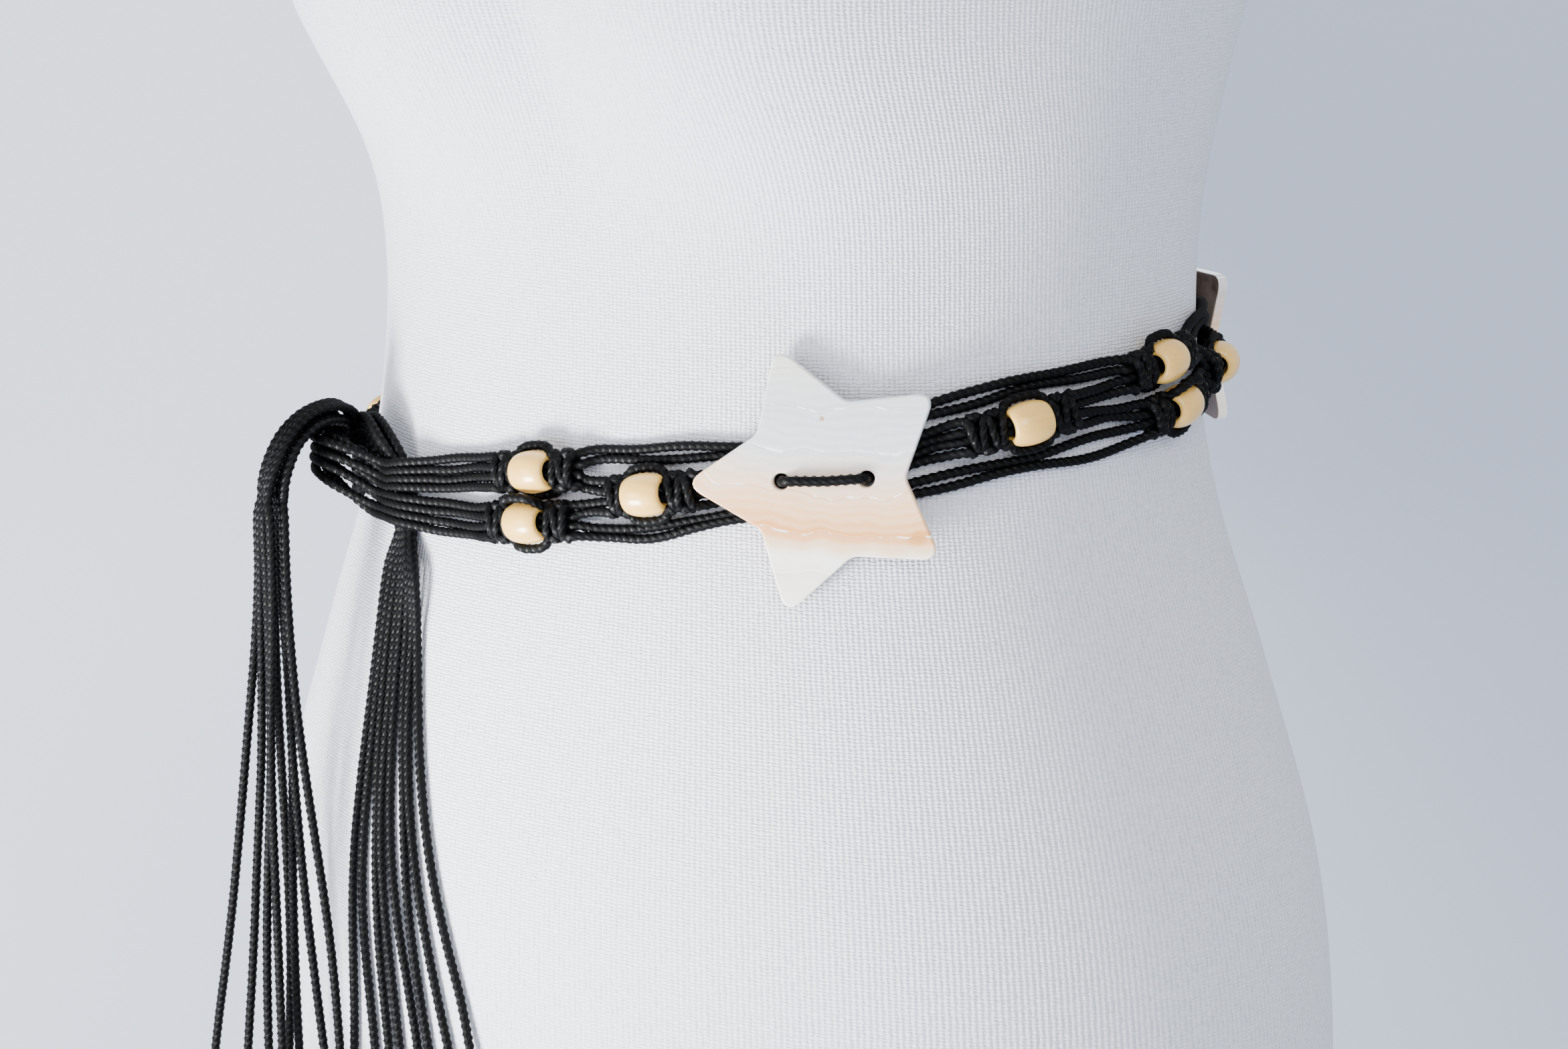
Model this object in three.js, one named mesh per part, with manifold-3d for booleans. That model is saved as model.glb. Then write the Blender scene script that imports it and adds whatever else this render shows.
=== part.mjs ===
// Knotted fringe belt tied round a dress form.
// Millimetres, +Z up, the form faces -Y and its left side is +X.
// The origin is the middle of the form's flat underside.

import * as THREE from 'three';
import { mergeVertices } from 'three/addons/utils/BufferGeometryUtils.js';
import Module from 'manifold-3d';

const wasm = await Module();
wasm.setup();

// Cord, bead and star sizes
const GAP = 0.3;
const CORD = 2.3;
const CORE = 4.2;
const BEAD = { length: 10.8, diameter: 11, endDiameter: 7.4, bore: 5.6, height: 6.2 };
const STAR = { tip: 32, notch: 20, thick: 3, edge: 0.6, tipRound: 0.2, notchRound: 0.09 };
const STAR_HOLE = { diameter: 4, spacing: 21.2 };
const LACING = 2.1;
const STAR_BACK = 3.5;
const BEAD_SIDES = 9;

// Belt pattern, measured along the belt from the middle of the first bead pair
const REPEAT = 182;
const STAR_COUNT = 3;
const FIRST_MIDDLE = { s: 34.5, v: -0.8 };
const STAR_AT = { s: 82, v: -2 };
const SECOND_MIDDLE = { s: 134, v: 2.2 };
const PAIR_OFFSET = 6.5;
const STAR_TURNS = [-7, 42, -12];

// Hand-tied beads sit a little off their even places
const PAIR_SHIFTS = [
	{ upper: 4, lower: 1 },
	{ upper: -5, lower: -1 },
	{ upper: 1.5, lower: -1.5 },
	{ upper: -1, lower: 1 },
];
const MIDDLE_SHIFTS = [
	{ first: { s: 2.5, v: 0 }, second: { s: -2, v: 0 } },
	{ first: { s: -2.5, v: -2.2 }, second: { s: 0.5, v: -0.3 } },
	{ first: { s: 1, v: 0.3 }, second: { s: -1, v: 0.3 } },
];

// Knots on each side of a bead
const KNOT = { halfWidth: 5.7, halfThick: 3.4, height: 4.8, bar: 2.4, groove: 0.8 };
const PAIR_KNOTS = { before: 3, after: 3 };
const FIRST_MIDDLE_KNOTS = { before: 2, after: 3 };
const SECOND_MIDDLE_KNOTS = { before: 4, after: 3 };

// The belt lies in a plane that rises towards the form's left side and its back
const BELT_PLANE = { height: 348, riseX: 0.14, riseY: 0.12, startAngle: -95 };

// Sections of the dress form, from its underside to its neck
const SQUARENESS = 2.15;
const FORM_ROWS = [
	{ z: 0, halfWidth: 145, halfDepth: 98 },
	{ z: 60, halfWidth: 153, halfDepth: 102 },
	{ z: 120, halfWidth: 160, halfDepth: 106 },
	{ z: 175, halfWidth: 162.5, halfDepth: 108 },
	{ z: 230, halfWidth: 156, halfDepth: 108 },
	{ z: 285, halfWidth: 138.5, halfDepth: 101 },
	{ z: 330, halfWidth: 122.5, halfDepth: 95 },
	{ z: 370, halfWidth: 116, halfDepth: 92 },
	{ z: 405, halfWidth: 116.5, halfDepth: 92.5 },
	{ z: 440, halfWidth: 123, halfDepth: 96 },
	{ z: 480, halfWidth: 133, halfDepth: 101 },
	{ z: 530, halfWidth: 141, halfDepth: 103 },
	{ z: 580, halfWidth: 147, halfDepth: 98 },
	{ z: 615, halfWidth: 149, halfDepth: 86 },
	{ z: 640, halfWidth: 138, halfDepth: 72 },
	{ z: 655, halfWidth: 112, halfDepth: 62 },
	{ z: 668, halfWidth: 74, halfDepth: 55 },
	{ z: 685, halfWidth: 56, halfDepth: 52 },
	{ z: 715, halfWidth: 52, halfDepth: 50 },
];
const BUST = { x: 56, z: 486, radius: 60, depth: 34, sharpness: 3 };
const FORM_SEGMENTS = 36;
const FORM_MESH_HEIGHTS = [
	0, 60, 120, 175, 215, 250, 280, 300, 318, 334, 350, 368, 390, 412, 435, 455,
	480, 505, 530, 560, 588, 612, 634, 650, 664, 685, 715,
];

// Free cords at stations along one repeat. A row gives the sideways place of each cord
// and the height of all of them over the form.
const EDGE_TO_STAR = [
	{ s: 11.5, n: 4.6, top: 9.6, second: 7.0, seventh: -7.0, bottom: -9.6 },
	{ s: 22, n: 2.2, top: 11.2, second: 8.5, seventh: -8.4, bottom: -10.9 },
	{ s: 35, n: 2.0, top: 11.1, second: 8.6, seventh: -9.2, bottom: -11.7 },
	{ s: 48, n: 2.0, top: 10.3, second: 7.8, seventh: -8.0, bottom: -10.4 },
	{ s: 62, n: 1.95, top: 9.2, second: 6.8, seventh: -7.0, bottom: -9.4 },
	{ s: 82, n: 1.95, top: 7.6, second: 5.2, seventh: -7.4, bottom: -9.8 },
];
const EDGE_FROM_STAR = [
	{ s: 82, n: 1.95, top: 7.6, second: 5.2, seventh: -7.4, bottom: -9.8 },
	{ s: 96, n: 1.95, top: 9.6, second: 7.2, seventh: -6.8, bottom: -9.3 },
	{ s: 108, n: 2.0, top: 11.4, second: 8.9, seventh: -6.4, bottom: -9.0 },
	{ s: 122, n: 1.95, top: 12.4, second: 9.9, seventh: -6.2, bottom: -8.9 },
	{ s: 134, n: 1.95, top: 13.0, second: 10.5, seventh: -6.6, bottom: -9.8 },
	{ s: 148, n: 1.95, top: 12.0, second: 9.2, seventh: -6.8, bottom: -11.4 },
	{ s: 160, n: 2.2, top: 10.8, second: 8.2, seventh: -7.6, bottom: -11.6 },
	{ s: 170.5, n: 4.6, top: 9.6, second: 7.0, seventh: -7.0, bottom: -9.6 },
];
const PAIR_TO_MIDDLE = [
	{ s: 11.5, n: 4.6, upper: 3.8, lower: -3.8, spacing: 2.0 },
	{ s: 18.5, n: 3.8, upper: 2.7, lower: -3.3, spacing: 2.0 },
	{ s: 25, n: 4.6, upper: 1.6, lower: -3.0, spacing: 2.0 },
];
const MIDDLE_TO_STAR = [
	{ s: 45.5, n: 4.6, v: -0.8, spacing: 2.1 },
	{ s: 56, n: 2.2, v: -0.8, spacing: 2.3 },
	{ s: 68, n: 1.95, v: -0.9, spacing: 2.3 },
	{ s: 82, n: 1.95, v: -1.1, spacing: 2.3 },
];
const STAR_TO_MIDDLE = [
	{ s: 82, n: 1.95, v: -1.1, spacing: 2.3 },
	{ s: 97, n: 1.95, v: 0.4, spacing: 2.4 },
	{ s: 109, n: 2.2, v: 1.8, spacing: 2.3 },
	{ s: 121, n: 4.6, v: 2.2, spacing: 2.1 },
];
const MIDDLE_TO_PAIR = [
	{ s: 144, n: 4.6, upper: 4.2, lower: 0.2, spacing: 2.0 },
	{ s: 157, n: 2.4, upper: 4.1, lower: -2.3, spacing: 2.2 },
	{ s: 170.5, n: 4.6, upper: 3.8, lower: -3.8, spacing: 2.0 },
];
const EDGE_CORDS = { top: 'upper', second: 'upper', seventh: 'lower', bottom: 'lower' };
const MIDDLE_CORD_COUNT = 4;
const CORD_SIDES = 4;
const CORD_STEP = 13;
const KNOT_SIDES = 6;

// Cords from the tie to the first pair, and from the last pair to the tie
const FRONT_RUN = [
	{ s: -52.3, n: 8.2, upper: 4.1, lower: -4.1, spacing: 2.05 },
	{ s: -46.5, n: 7.7, upper: 4.7, lower: -4.7, spacing: 2.2 },
	{ s: -38, n: 4.6, upper: 5.3, lower: -5.4, spacing: 2.4 },
	{ s: -29, n: 2.6, upper: 6.0, lower: -6.1, spacing: 2.6 },
	{ s: -20, n: 2.8, upper: 6.4, lower: -6.5, spacing: 2.7 },
	{ s: -11.5, n: 4.6, upper: 6.5, lower: -6.5, spacing: 2.5 },
];
const BACK_RUN = [
	{ s: 11.5, n: 4.6, upper: 6.5, lower: -6.5, spacing: 2.5 },
	{ s: 22, n: 2.6, upper: 5.9, lower: -6.0, spacing: 2.6 },
	{ s: 34, n: 2.2, upper: 4.9, lower: -4.9, spacing: 2.3 },
	{ s: 44.2, n: 2.8, upper: 4.1, lower: -4.1, spacing: 2.05 },
];

// The tie. Its places are given along the belt, out from the form and up.
const TIE_AT = -72;
// A bundle's width leans from along the belt, 0 degrees, towards upright, 90 degrees.
const FRONT_BUNDLE = [
	{ along: 18.4, out: 5.4, up: 2.2, halfWidth: 8.2, halfThick: 1.2, lean: -83 },
	{ along: 15.2, out: 7.4, up: 3.0, halfWidth: 8.2, halfThick: 1.5, lean: -85 },
	{ along: 11.6, out: 11.2, up: 5.6, halfWidth: 7.8, halfThick: 2.0, lean: -92 },
	{ along: 8.0, out: 15.2, up: 8.2, halfWidth: 7.2, halfThick: 2.5, lean: -90 },
	{ along: 3.6, out: 17.8, up: 9.8, halfWidth: 6.6, halfThick: 2.9, lean: -90 },
	{ along: -1.0, out: 18.0, up: 10.4, halfWidth: 6.0, halfThick: 3.0, lean: -90 },
	{ along: -5.2, out: 14.6, up: 10.8, halfWidth: 5.6, halfThick: 3.0, lean: -100 },
	{ along: -7.4, out: 10.4, up: 12.8, halfWidth: 5.2, halfThick: 3.0, lean: -135 },
	{ along: -6.4, out: 9.2, up: 16.6, halfWidth: 4.8, halfThick: 3.0, lean: -165 },
	{ along: -3.0, out: 11.2, up: 20.0, halfWidth: 4.6, halfThick: 3.1, lean: -180 },
	{ along: 1.4, out: 17.4, up: 21.2, halfWidth: 4.6, halfThick: 3.2, lean: -180 },
	{ along: 4.4, out: 23.2, up: 19.6, halfWidth: 4.8, halfThick: 3.3, lean: -180 },
	{ along: 6.2, out: 28.4, up: 15.2, halfWidth: 4.8, halfThick: 3.3, lean: -180 },
	{ along: 7, out: 32.2, up: 8.4, halfWidth: 5.0, halfThick: 3.4, lean: -180 },
	{ along: 7, out: 33.8, up: 3, halfWidth: 5.2, halfThick: 3.4, lean: -180 },
	{ along: 7, out: 34, up: 0, halfWidth: 5.2, halfThick: 3.4, lean: -180 },
];
const BACK_BUNDLE = [
	{ along: -21.4, out: 0.8, up: 0, halfWidth: 8.2, halfThick: 1.2, lean: 90 },
	{ along: -17.4, out: 2.2, up: 1.6, halfWidth: 7.4, halfThick: 1.6, lean: 108 },
	{ along: -12.6, out: 3.6, up: 5.2, halfWidth: 6.2, halfThick: 2.2, lean: 128 },
	{ along: -7.4, out: 4.8, up: 10.6, halfWidth: 5.2, halfThick: 2.7, lean: 132 },
	{ along: -1.4, out: 5.4, up: 15.0, halfWidth: 4.8, halfThick: 2.8, lean: 112 },
	{ along: 5.4, out: 5.2, up: 16.4, halfWidth: 4.8, halfThick: 2.8, lean: 84 },
	{ along: 12.2, out: 4.2, up: 13.4, halfWidth: 4.8, halfThick: 2.6, lean: 46 },
	{ along: 17.0, out: 1.2, up: 6.6, halfWidth: 4.6, halfThick: 2.0, lean: 18 },
	{ along: 19.4, out: 0.2, up: -2, halfWidth: 4.6, halfThick: 1.8, lean: 6 },
	{ along: 20.4, out: 0.3, up: -9, halfWidth: 4.6, halfThick: 1.9, lean: 0 },
];
const BUNDLE_RIDGES = 6;
const BUNDLE_GROOVE = 0.84;
const BUNDLE_LIFT = 0.5;

// Fringe strands. top and bottom places are along and out from the tie's own point.
const FRINGE_SIDES = 4;
const FRINGE_STEPS = 9;
const FRINGE_LIFT = 0.6;
const ROOT_DEPTH = 3;
const HIP_HEIGHT = 175;
const SPREAD_HEIGHT = 110;
const BACK_FRINGE = {
	root: [
		{ along: 7, out: 34.1, up: -0.7, halfWidth: 5.2, halfThick: 3.4, lean: -180 },
		{ along: 7.4, out: 34.4, up: -7, halfWidth: 7.2, halfThick: 4.6, lean: -180 },
	],
	strands: [
		{ along: 2.6, out: 36.8, endAlong: -14, endOut: 54, end: 34 },
		{ along: 5.8, out: 37, endAlong: -3, endOut: 45, end: 22 },
		{ along: 9, out: 36.8, endAlong: 6, endOut: 40, end: 41 },
		{ along: 12.2, out: 36.2, endAlong: 15, endOut: 39, end: 29 },
		{ along: 2.6, out: 32.4, endAlong: 4, endOut: 33.5, end: 47 },
		{ along: 5.8, out: 32.2, endAlong: 14, endOut: 31, end: 25 },
		{ along: 9, out: 32, endAlong: 23, endOut: 27, end: 38 },
		{ along: 12.2, out: 32.2, endAlong: 33, endOut: 24, end: 18 },
	],
};
const FRONT_FRINGE = {
	root: [
		{ along: 20.5, out: 0.5, up: -9.9, halfWidth: 4.6, halfThick: 1.9, lean: 0 },
		{ along: 23.8, out: 3.2, up: -22, halfWidth: 12.8, halfThick: 2.4, lean: 0 },
	],
	strands: [
		{ along: 14, out: 3, endAlong: 13, endOut: 0, end: 31 },
		{ along: 16.8, out: 3, endAlong: 24, endOut: 0, end: 44 },
		{ along: 19.6, out: 3, endAlong: 32, endOut: 0, end: 20 },
		{ along: 22.4, out: 3, endAlong: 39.5, endOut: 0, end: 36 },
		{ along: 25.2, out: 3, endAlong: 47, endOut: 0, end: 26 },
		{ along: 28, out: 3, endAlong: 56, endOut: 0, end: 49 },
		{ along: 30.8, out: 3, endAlong: 67, endOut: 0, end: 33 },
		{ along: 33.6, out: 3, endAlong: 79, endOut: 0, end: 24 },
	],
};

const materials = {
	jersey: new THREE.MeshStandardMaterial({ color: 0xd9dadd, roughness: 0.95 }),
	cord: new THREE.MeshStandardMaterial({ color: 0x17181b, roughness: 0.6 }),
	wood: new THREE.MeshStandardMaterial({ color: 0xe9cf9f, roughness: 0.3 }),
	shell: new THREE.MeshStandardMaterial({ color: 0xe6dcd2, roughness: 0.2 }),
};

const group = new THREE.Group();

function addMesh(name, geometry, material) {
	const mesh = new THREE.Mesh(geometry, material);
	mesh.name = name;
	group.add(mesh);
}

// A size of the form at a height, smooth through the rows of its table
function formSize(z, column) {
	const last = FORM_ROWS.length - 1;
	let i = 0;
	while (i < last - 1 && z > FORM_ROWS[i + 1].z) i += 1;
	const slopeAt = (k) => {
		const below = FORM_ROWS[Math.max(k - 1, 0)];
		const above = FORM_ROWS[Math.min(k + 1, last)];
		return (above[column] - below[column]) / (above.z - below.z);
	};
	const step = FORM_ROWS[i + 1].z - FORM_ROWS[i].z;
	const u = (z - FORM_ROWS[i].z) / step;
	return (2 * u ** 3 - 3 * u ** 2 + 1) * FORM_ROWS[i][column]
		+ (u ** 3 - 2 * u ** 2 + u) * slopeAt(i) * step
		+ (3 * u ** 2 - 2 * u ** 3) * FORM_ROWS[i + 1][column]
		+ (u ** 3 - u ** 2) * slopeAt(i + 1) * step;
}

function signedPower(value, power) {
	return Math.sign(value) * Math.abs(value) ** power;
}

// A point of the form without its bust, at an angle round it and a height
function formPoint(angle, z) {
	const x = formSize(z, 'halfWidth') * signedPower(Math.cos(angle), 2 / SQUARENESS);
	const y = formSize(z, 'halfDepth') * signedPower(Math.sin(angle), 2 / SQUARENESS);
	return new THREE.Vector3(x, y, z);
}

function formNormal(angle, z) {
	const step = 0.001;
	const around = formPoint(angle + step, z).sub(formPoint(angle - step, z));
	const upward = formPoint(angle, z + step).sub(formPoint(angle, z - step));
	return around.cross(upward).normalize();
}

// The angle on the form that lies nearest a point at the point's own height
function formAngle(point) {
	const x = point.x / formSize(point.z, 'halfWidth');
	const y = point.y / formSize(point.z, 'halfDepth');
	return Math.atan2(signedPower(y, SQUARENESS / 2), signedPower(x, SQUARENESS / 2));
}

function buildForm() {
	const heights = [0, ...FORM_MESH_HEIGHTS, FORM_MESH_HEIGHTS.at(-1)];
	const profile = heights.map((z, row) => {
		const onAxis = row === 0 || row === heights.length - 1;
		return new THREE.Vector2(onAxis ? 0 : 1, z);
	});
	const geometry = new THREE.LatheGeometry(profile, FORM_SEGMENTS);
	const place = geometry.getAttribute('position');
	for (let segment = 0; segment <= FORM_SEGMENTS; segment += 1) {
		for (let row = 0; row < heights.length; row += 1) {
			const angle = 2 * Math.PI * (segment % FORM_SEGMENTS) / FORM_SEGMENTS;
			const point = formPoint(angle, heights[row]);
			if (point.y < 0) {
				const side = Math.abs(point.x) - BUST.x;
				const reach = Math.hypot(side, point.z - BUST.z) / BUST.radius;
				point.y -= BUST.depth * Math.exp(-(reach ** BUST.sharpness));
			}
			const index = segment * heights.length + row;
			const spread = profile[row].x;
			place.setXYZ(index, point.x * spread, point.y * spread, point.z);
		}
	}
	addMesh('dress_form', geometry, materials.jersey);
}

// The belt's middle line on the form, as points with their distance from the first pair
const beltLine = [];
const BELT_SAMPLES = 720;
for (let i = 0; i <= BELT_SAMPLES; i += 1) {
	const angle = THREE.MathUtils.degToRad(BELT_PLANE.startAngle) + 2 * Math.PI * i / BELT_SAMPLES;
	let z = BELT_PLANE.height;
	for (let round = 0; round < 8; round += 1) {
		const point = formPoint(angle, z);
		z = BELT_PLANE.height + BELT_PLANE.riseX * point.x + BELT_PLANE.riseY * point.y;
	}
	const point = formPoint(angle, z);
	const before = beltLine.at(-1);
	const distance = before ? before.distance + before.point.distanceTo(point) : 0;
	beltLine.push({ point, distance });
}
const BELT_LENGTH = beltLine.at(-1).distance;

function lineAt(s) {
	const distance = ((s % BELT_LENGTH) + BELT_LENGTH) % BELT_LENGTH;
	let low = 0;
	let high = BELT_SAMPLES;
	while (high - low > 1) {
		const half = (low + high) >> 1;
		if (beltLine[half].distance <= distance) low = half;
		else high = half;
	}
	const from = beltLine[low];
	const to = beltLine[high];
	const share = (distance - from.distance) / (to.distance - from.distance);
	return from.point.clone().lerp(to.point, share);
}

// Along the belt, across it and out of the form, at a place on its middle line
function beltAxes(s) {
	const point = lineAt(s);
	const along = lineAt(s + 1).sub(lineAt(s - 1)).normalize();
	const out = formNormal(formAngle(point), point.z);
	const across = out.clone().cross(along).normalize();
	return { point, along, across, out };
}

// s along the belt, v across it and n out from the form
function beltPoint(s, v, n) {
	const { point, across } = beltAxes(s);
	const beside = point.addScaledVector(across, v);
	const angle = formAngle(beside);
	return formPoint(angle, beside.z).addScaledVector(formNormal(angle, beside.z), n);
}

// A matrix whose x, y and z are along, across and out at a place on the belt
function beltMatrix(s, v, n) {
	const axes = beltAxes(s);
	const out = axes.along.clone().cross(axes.across).normalize();
	const matrix = new THREE.Matrix4().makeBasis(axes.along, axes.across, out);
	return matrix.setPosition(beltPoint(s, v, n));
}

function tube(points, diameter, sides, steps) {
	const corners = [];
	for (let i = 0; i < sides; i += 1) {
		const angle = 2 * Math.PI * i / sides;
		corners.push(new THREE.Vector2(Math.cos(angle), Math.sin(angle)).multiplyScalar(diameter / 2));
	}
	const path = new THREE.CatmullRomCurve3(points);
	const settings = { steps, bevelEnabled: false, extrudePath: path };
	return new THREE.ExtrudeGeometry(new THREE.Shape(corners), settings);
}

function toSolid(geometry) {
	const bare = geometry.clone();
	bare.deleteAttribute('normal');
	bare.deleteAttribute('uv');
	const merged = mergeVertices(bare, 1e-4);
	return new wasm.Manifold(new wasm.Mesh({
		numProp: 3,
		vertProperties: merged.getAttribute('position').array,
		triVerts: Uint32Array.from(merged.getIndex().array),
	}));
}

// Pieces joined into one solid, with any small hollow shut in between them filled
function fuse(name, geometries) {
	const solid = geometries.map(toSolid).reduce((whole, piece) => whole.add(piece));
	const shells = solid.decompose().sort((a, b) => b.volume() - a.volume());
	if (shells[1]?.volume() > 0) throw new Error(`${name} falls into separate pieces`);
	const mesh = shells[0].getMesh();
	const fused = new THREE.BufferGeometry();
	fused.setAttribute('position', new THREE.BufferAttribute(mesh.vertProperties, 3));
	fused.setIndex(new THREE.BufferAttribute(mesh.triVerts, 1));
	return fused;
}

function addCords(name, pieces) {
	addMesh(name, fuse(name, pieces), materials.cord);
}

// A row of knots, ridged once for each cord that wraps the sinnet
function knotRow(fromS, bars, v) {
	const rows = [new THREE.Vector2(0, 0)];
	for (let bar = 0; bar < bars; bar += 1) {
		if (bar > 0) rows.push(new THREE.Vector2(KNOT.groove, bar * KNOT.bar));
		rows.push(new THREE.Vector2(1, (bar + 0.5) * KNOT.bar));
	}
	rows.push(new THREE.Vector2(0, bars * KNOT.bar));
	const geometry = new THREE.LatheGeometry(rows, KNOT_SIDES);
	geometry.rotateZ(-Math.PI / 2);
	geometry.scale(1, KNOT.halfWidth, KNOT.halfThick);
	const middle = fromS + bars * KNOT.bar / 2;
	geometry.translate(-bars * KNOT.bar / 2, 0, 0);
	return geometry.applyMatrix4(beltMatrix(middle, v, KNOT.height));
}

function cordAlong(rows, column, base) {
	const points = rows.map((row) => beltPoint(base + row.s, row[column], row.n));
	const length = Math.abs(rows.at(-1).s - rows[0].s);
	return tube(points, CORD, CORD_SIDES, Math.max(2, Math.round(length / CORD_STEP)));
}

// A closed body through the same ring of points at each of its sections
function loft(sections) {
	const sides = sections[0].length;
	const steps = sections.length - 1;
	const geometry = new THREE.CylinderGeometry(1, 1, 1, sides, steps);
	const place = geometry.getAttribute('position');
	const middles = sections.map((ring) => {
		const sum = ring.reduce((total, point) => total.add(point), new THREE.Vector3());
		return sum.divideScalar(sides);
	});
	for (let i = 0; i < place.count; i += 1) {
		const row = Math.round((0.5 - place.getY(i)) * steps);
		const turn = Math.atan2(place.getX(i), place.getZ(i)) / (2 * Math.PI);
		const onAxis = Math.hypot(place.getX(i), place.getZ(i)) < 0.5;
		const corner = (Math.round(turn * sides) + sides) % sides;
		const point = onAxis ? middles[row] : sections[row][corner];
		place.setXYZ(i, point.x, point.y, point.z);
	}
	return geometry;
}

// Cords that lie side by side, as one band with a ridge for each cord
function ribbon(rows, column, base, count) {
	const sections = rows.map((row) => {
		const half = count / 2 * row.spacing;
		const ring = [];
		for (let i = 1; i < 2 * count; i += 1) {
			const crest = i % 2 === 1 ? CORD / 2 : CORD / 4;
			ring.push([-half + i * row.spacing / 2, crest]);
		}
		ring.push([half, 0], [half - 0.6, -CORD / 2], [0.6 - half, -CORD / 2], [-half, 0]);
		const s = base + row.s;
		return ring.map(([v, n]) => beltPoint(s, row[column] + v, row.n + n));
	});
	return loft(sections);
}

// The knots before and after a bead, the core through it and the two cords round it
function sinnetAtBead(s, v, knots, inner) {
	const half = BEAD.length / 2;
	const pieces = [];
	pieces.push(knotRow(s - half - GAP - knots.before * KNOT.bar, knots.before, v));
	pieces.push(knotRow(s + half + GAP, knots.after, v));
	const matrix = beltMatrix(s, v, BEAD.height);
	const core = [-half - 2, half + 2].map((d) => new THREE.Vector3(d, 0, 0));
	pieces.push(tube(core, CORE, 5, 1).applyMatrix4(matrix));
	for (const side of [-1, 1]) {
		const rows = [
			{ d: -half - 2, v: 3.8, n: KNOT.height },
			{ d: -half * 0.7, v: 6.7, n: KNOT.height },
			{ d: 0, v: 7.5, n: KNOT.height },
			{ d: half * 0.7, v: 6.7, n: KNOT.height },
			{ d: half + 2, v: 3.8, n: KNOT.height },
		];
		if (side === inner?.side) {
			for (const row of rows.slice(1, 4)) {
				row.v = row.d === 0 ? inner.v : inner.v - 0.4;
				row.n = inner.n;
			}
		}
		const points = rows.map(
			(row) => new THREE.Vector3(row.d, side * row.v, row.n - BEAD.height),
		);
		pieces.push(tube(points, CORD, CORD_SIDES, 4).applyMatrix4(matrix));
	}
	return pieces;
}

function pairGroup(base, shift) {
	const upperInner = { side: -1, v: PAIR_OFFSET - 0.1, n: 1.75 };
	const lowerInner = { side: 1, v: PAIR_OFFSET + 0.1, n: 10.4 };
	return [
		...sinnetAtBead(base + shift.upper, PAIR_OFFSET, PAIR_KNOTS, upperInner),
		...sinnetAtBead(base + shift.lower, -PAIR_OFFSET, PAIR_KNOTS, lowerInner),
	];
}

// A table with one of its rows moved along the belt and across it
function moved(rows, index, along, across = 0) {
	return rows.map((row, i) => {
		if (i !== index) return row;
		const place = { ...row, s: row.s + along };
		for (const column of ['v', 'upper', 'lower']) place[column] += across;
		return place;
	});
}

// The four outer cords, each moved with its own knots at the pair
function edgeCords(rows, pairRow, shift, base) {
	return Object.entries(EDGE_CORDS).map(
		([cord, knots]) => cordAlong(moved(rows, pairRow, shift[knots]), cord, base),
	);
}

function middleSinnet(base, place, off, knots) {
	return sinnetAtBead(base + place.s + off.s, place.v + off.v, knots);
}

function starToPair(index) {
	const base = index * REPEAT;
	const pair = PAIR_SHIFTS[index + 1];
	const bead = MIDDLE_SHIFTS[index].second;
	const edge = trimmed(EDGE_FROM_STAR, true);
	const middle = moved(trimmed(STAR_TO_MIDDLE, true), STAR_TO_MIDDLE.length - 1, bead.s, bead.v);
	const parted = moved(MIDDLE_TO_PAIR, 0, bead.s, bead.v);
	const last = MIDDLE_TO_PAIR.length - 1;
	return [
		...edgeCords(edge, EDGE_FROM_STAR.length - 1, pair, base),
		ribbon(middle, 'v', base, MIDDLE_CORD_COUNT),
		ribbon(moved(parted, last, pair.upper), 'upper', base, MIDDLE_CORD_COUNT / 2),
		ribbon(moved(parted, last, pair.lower), 'lower', base, MIDDLE_CORD_COUNT / 2),
		...middleSinnet(base, SECOND_MIDDLE, bead, SECOND_MIDDLE_KNOTS),
	];
}

function pairToStar(index) {
	const base = index * REPEAT;
	const pair = PAIR_SHIFTS[index];
	const bead = MIDDLE_SHIFTS[index].first;
	const parted = moved(PAIR_TO_MIDDLE, PAIR_TO_MIDDLE.length - 1, bead.s, bead.v);
	const middle = moved(trimmed(MIDDLE_TO_STAR, false), 0, bead.s, bead.v);
	return [
		...edgeCords(trimmed(EDGE_TO_STAR, false), 0, pair, base),
		ribbon(middle, 'v', base, MIDDLE_CORD_COUNT),
		ribbon(moved(parted, 0, pair.upper), 'upper', base, MIDDLE_CORD_COUNT / 2),
		ribbon(moved(parted, 0, pair.lower), 'lower', base, MIDDLE_CORD_COUNT / 2),
		...middleSinnet(base, FIRST_MIDDLE, bead, FIRST_MIDDLE_KNOTS),
	];
}

function tieRun(rows, pairRow, shift, base) {
	return ['upper', 'lower'].map(
		(column) => ribbon(moved(rows, pairRow, shift[column]), column, base, MIDDLE_CORD_COUNT),
	);
}

// Two stretches part behind a star, so each stops a gap short of its middle
function trimmed(rows, atStart) {
	const shift = atStart ? GAP : -GAP;
	const index = atStart ? 0 : rows.length - 1;
	return rows.map((row, i) => (i === index ? { ...row, s: row.s + shift } : row));
}

function buildBand() {
	for (let stretch = 0; stretch <= STAR_COUNT; stretch += 1) {
		const base = stretch * REPEAT;
		const shift = PAIR_SHIFTS[stretch];
		const pieces = pairGroup(base, shift);
		if (stretch > 0) pieces.push(...starToPair(stretch - 1));
		else pieces.push(...tieRun(FRONT_RUN, FRONT_RUN.length - 1, shift, base));
		if (stretch < STAR_COUNT) pieces.push(...pairToStar(stretch));
		else pieces.push(...tieRun(BACK_RUN, 0, shift, base));
		addCords(`band_stretch_${stretch + 1}`, pieces);
	}
}

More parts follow.
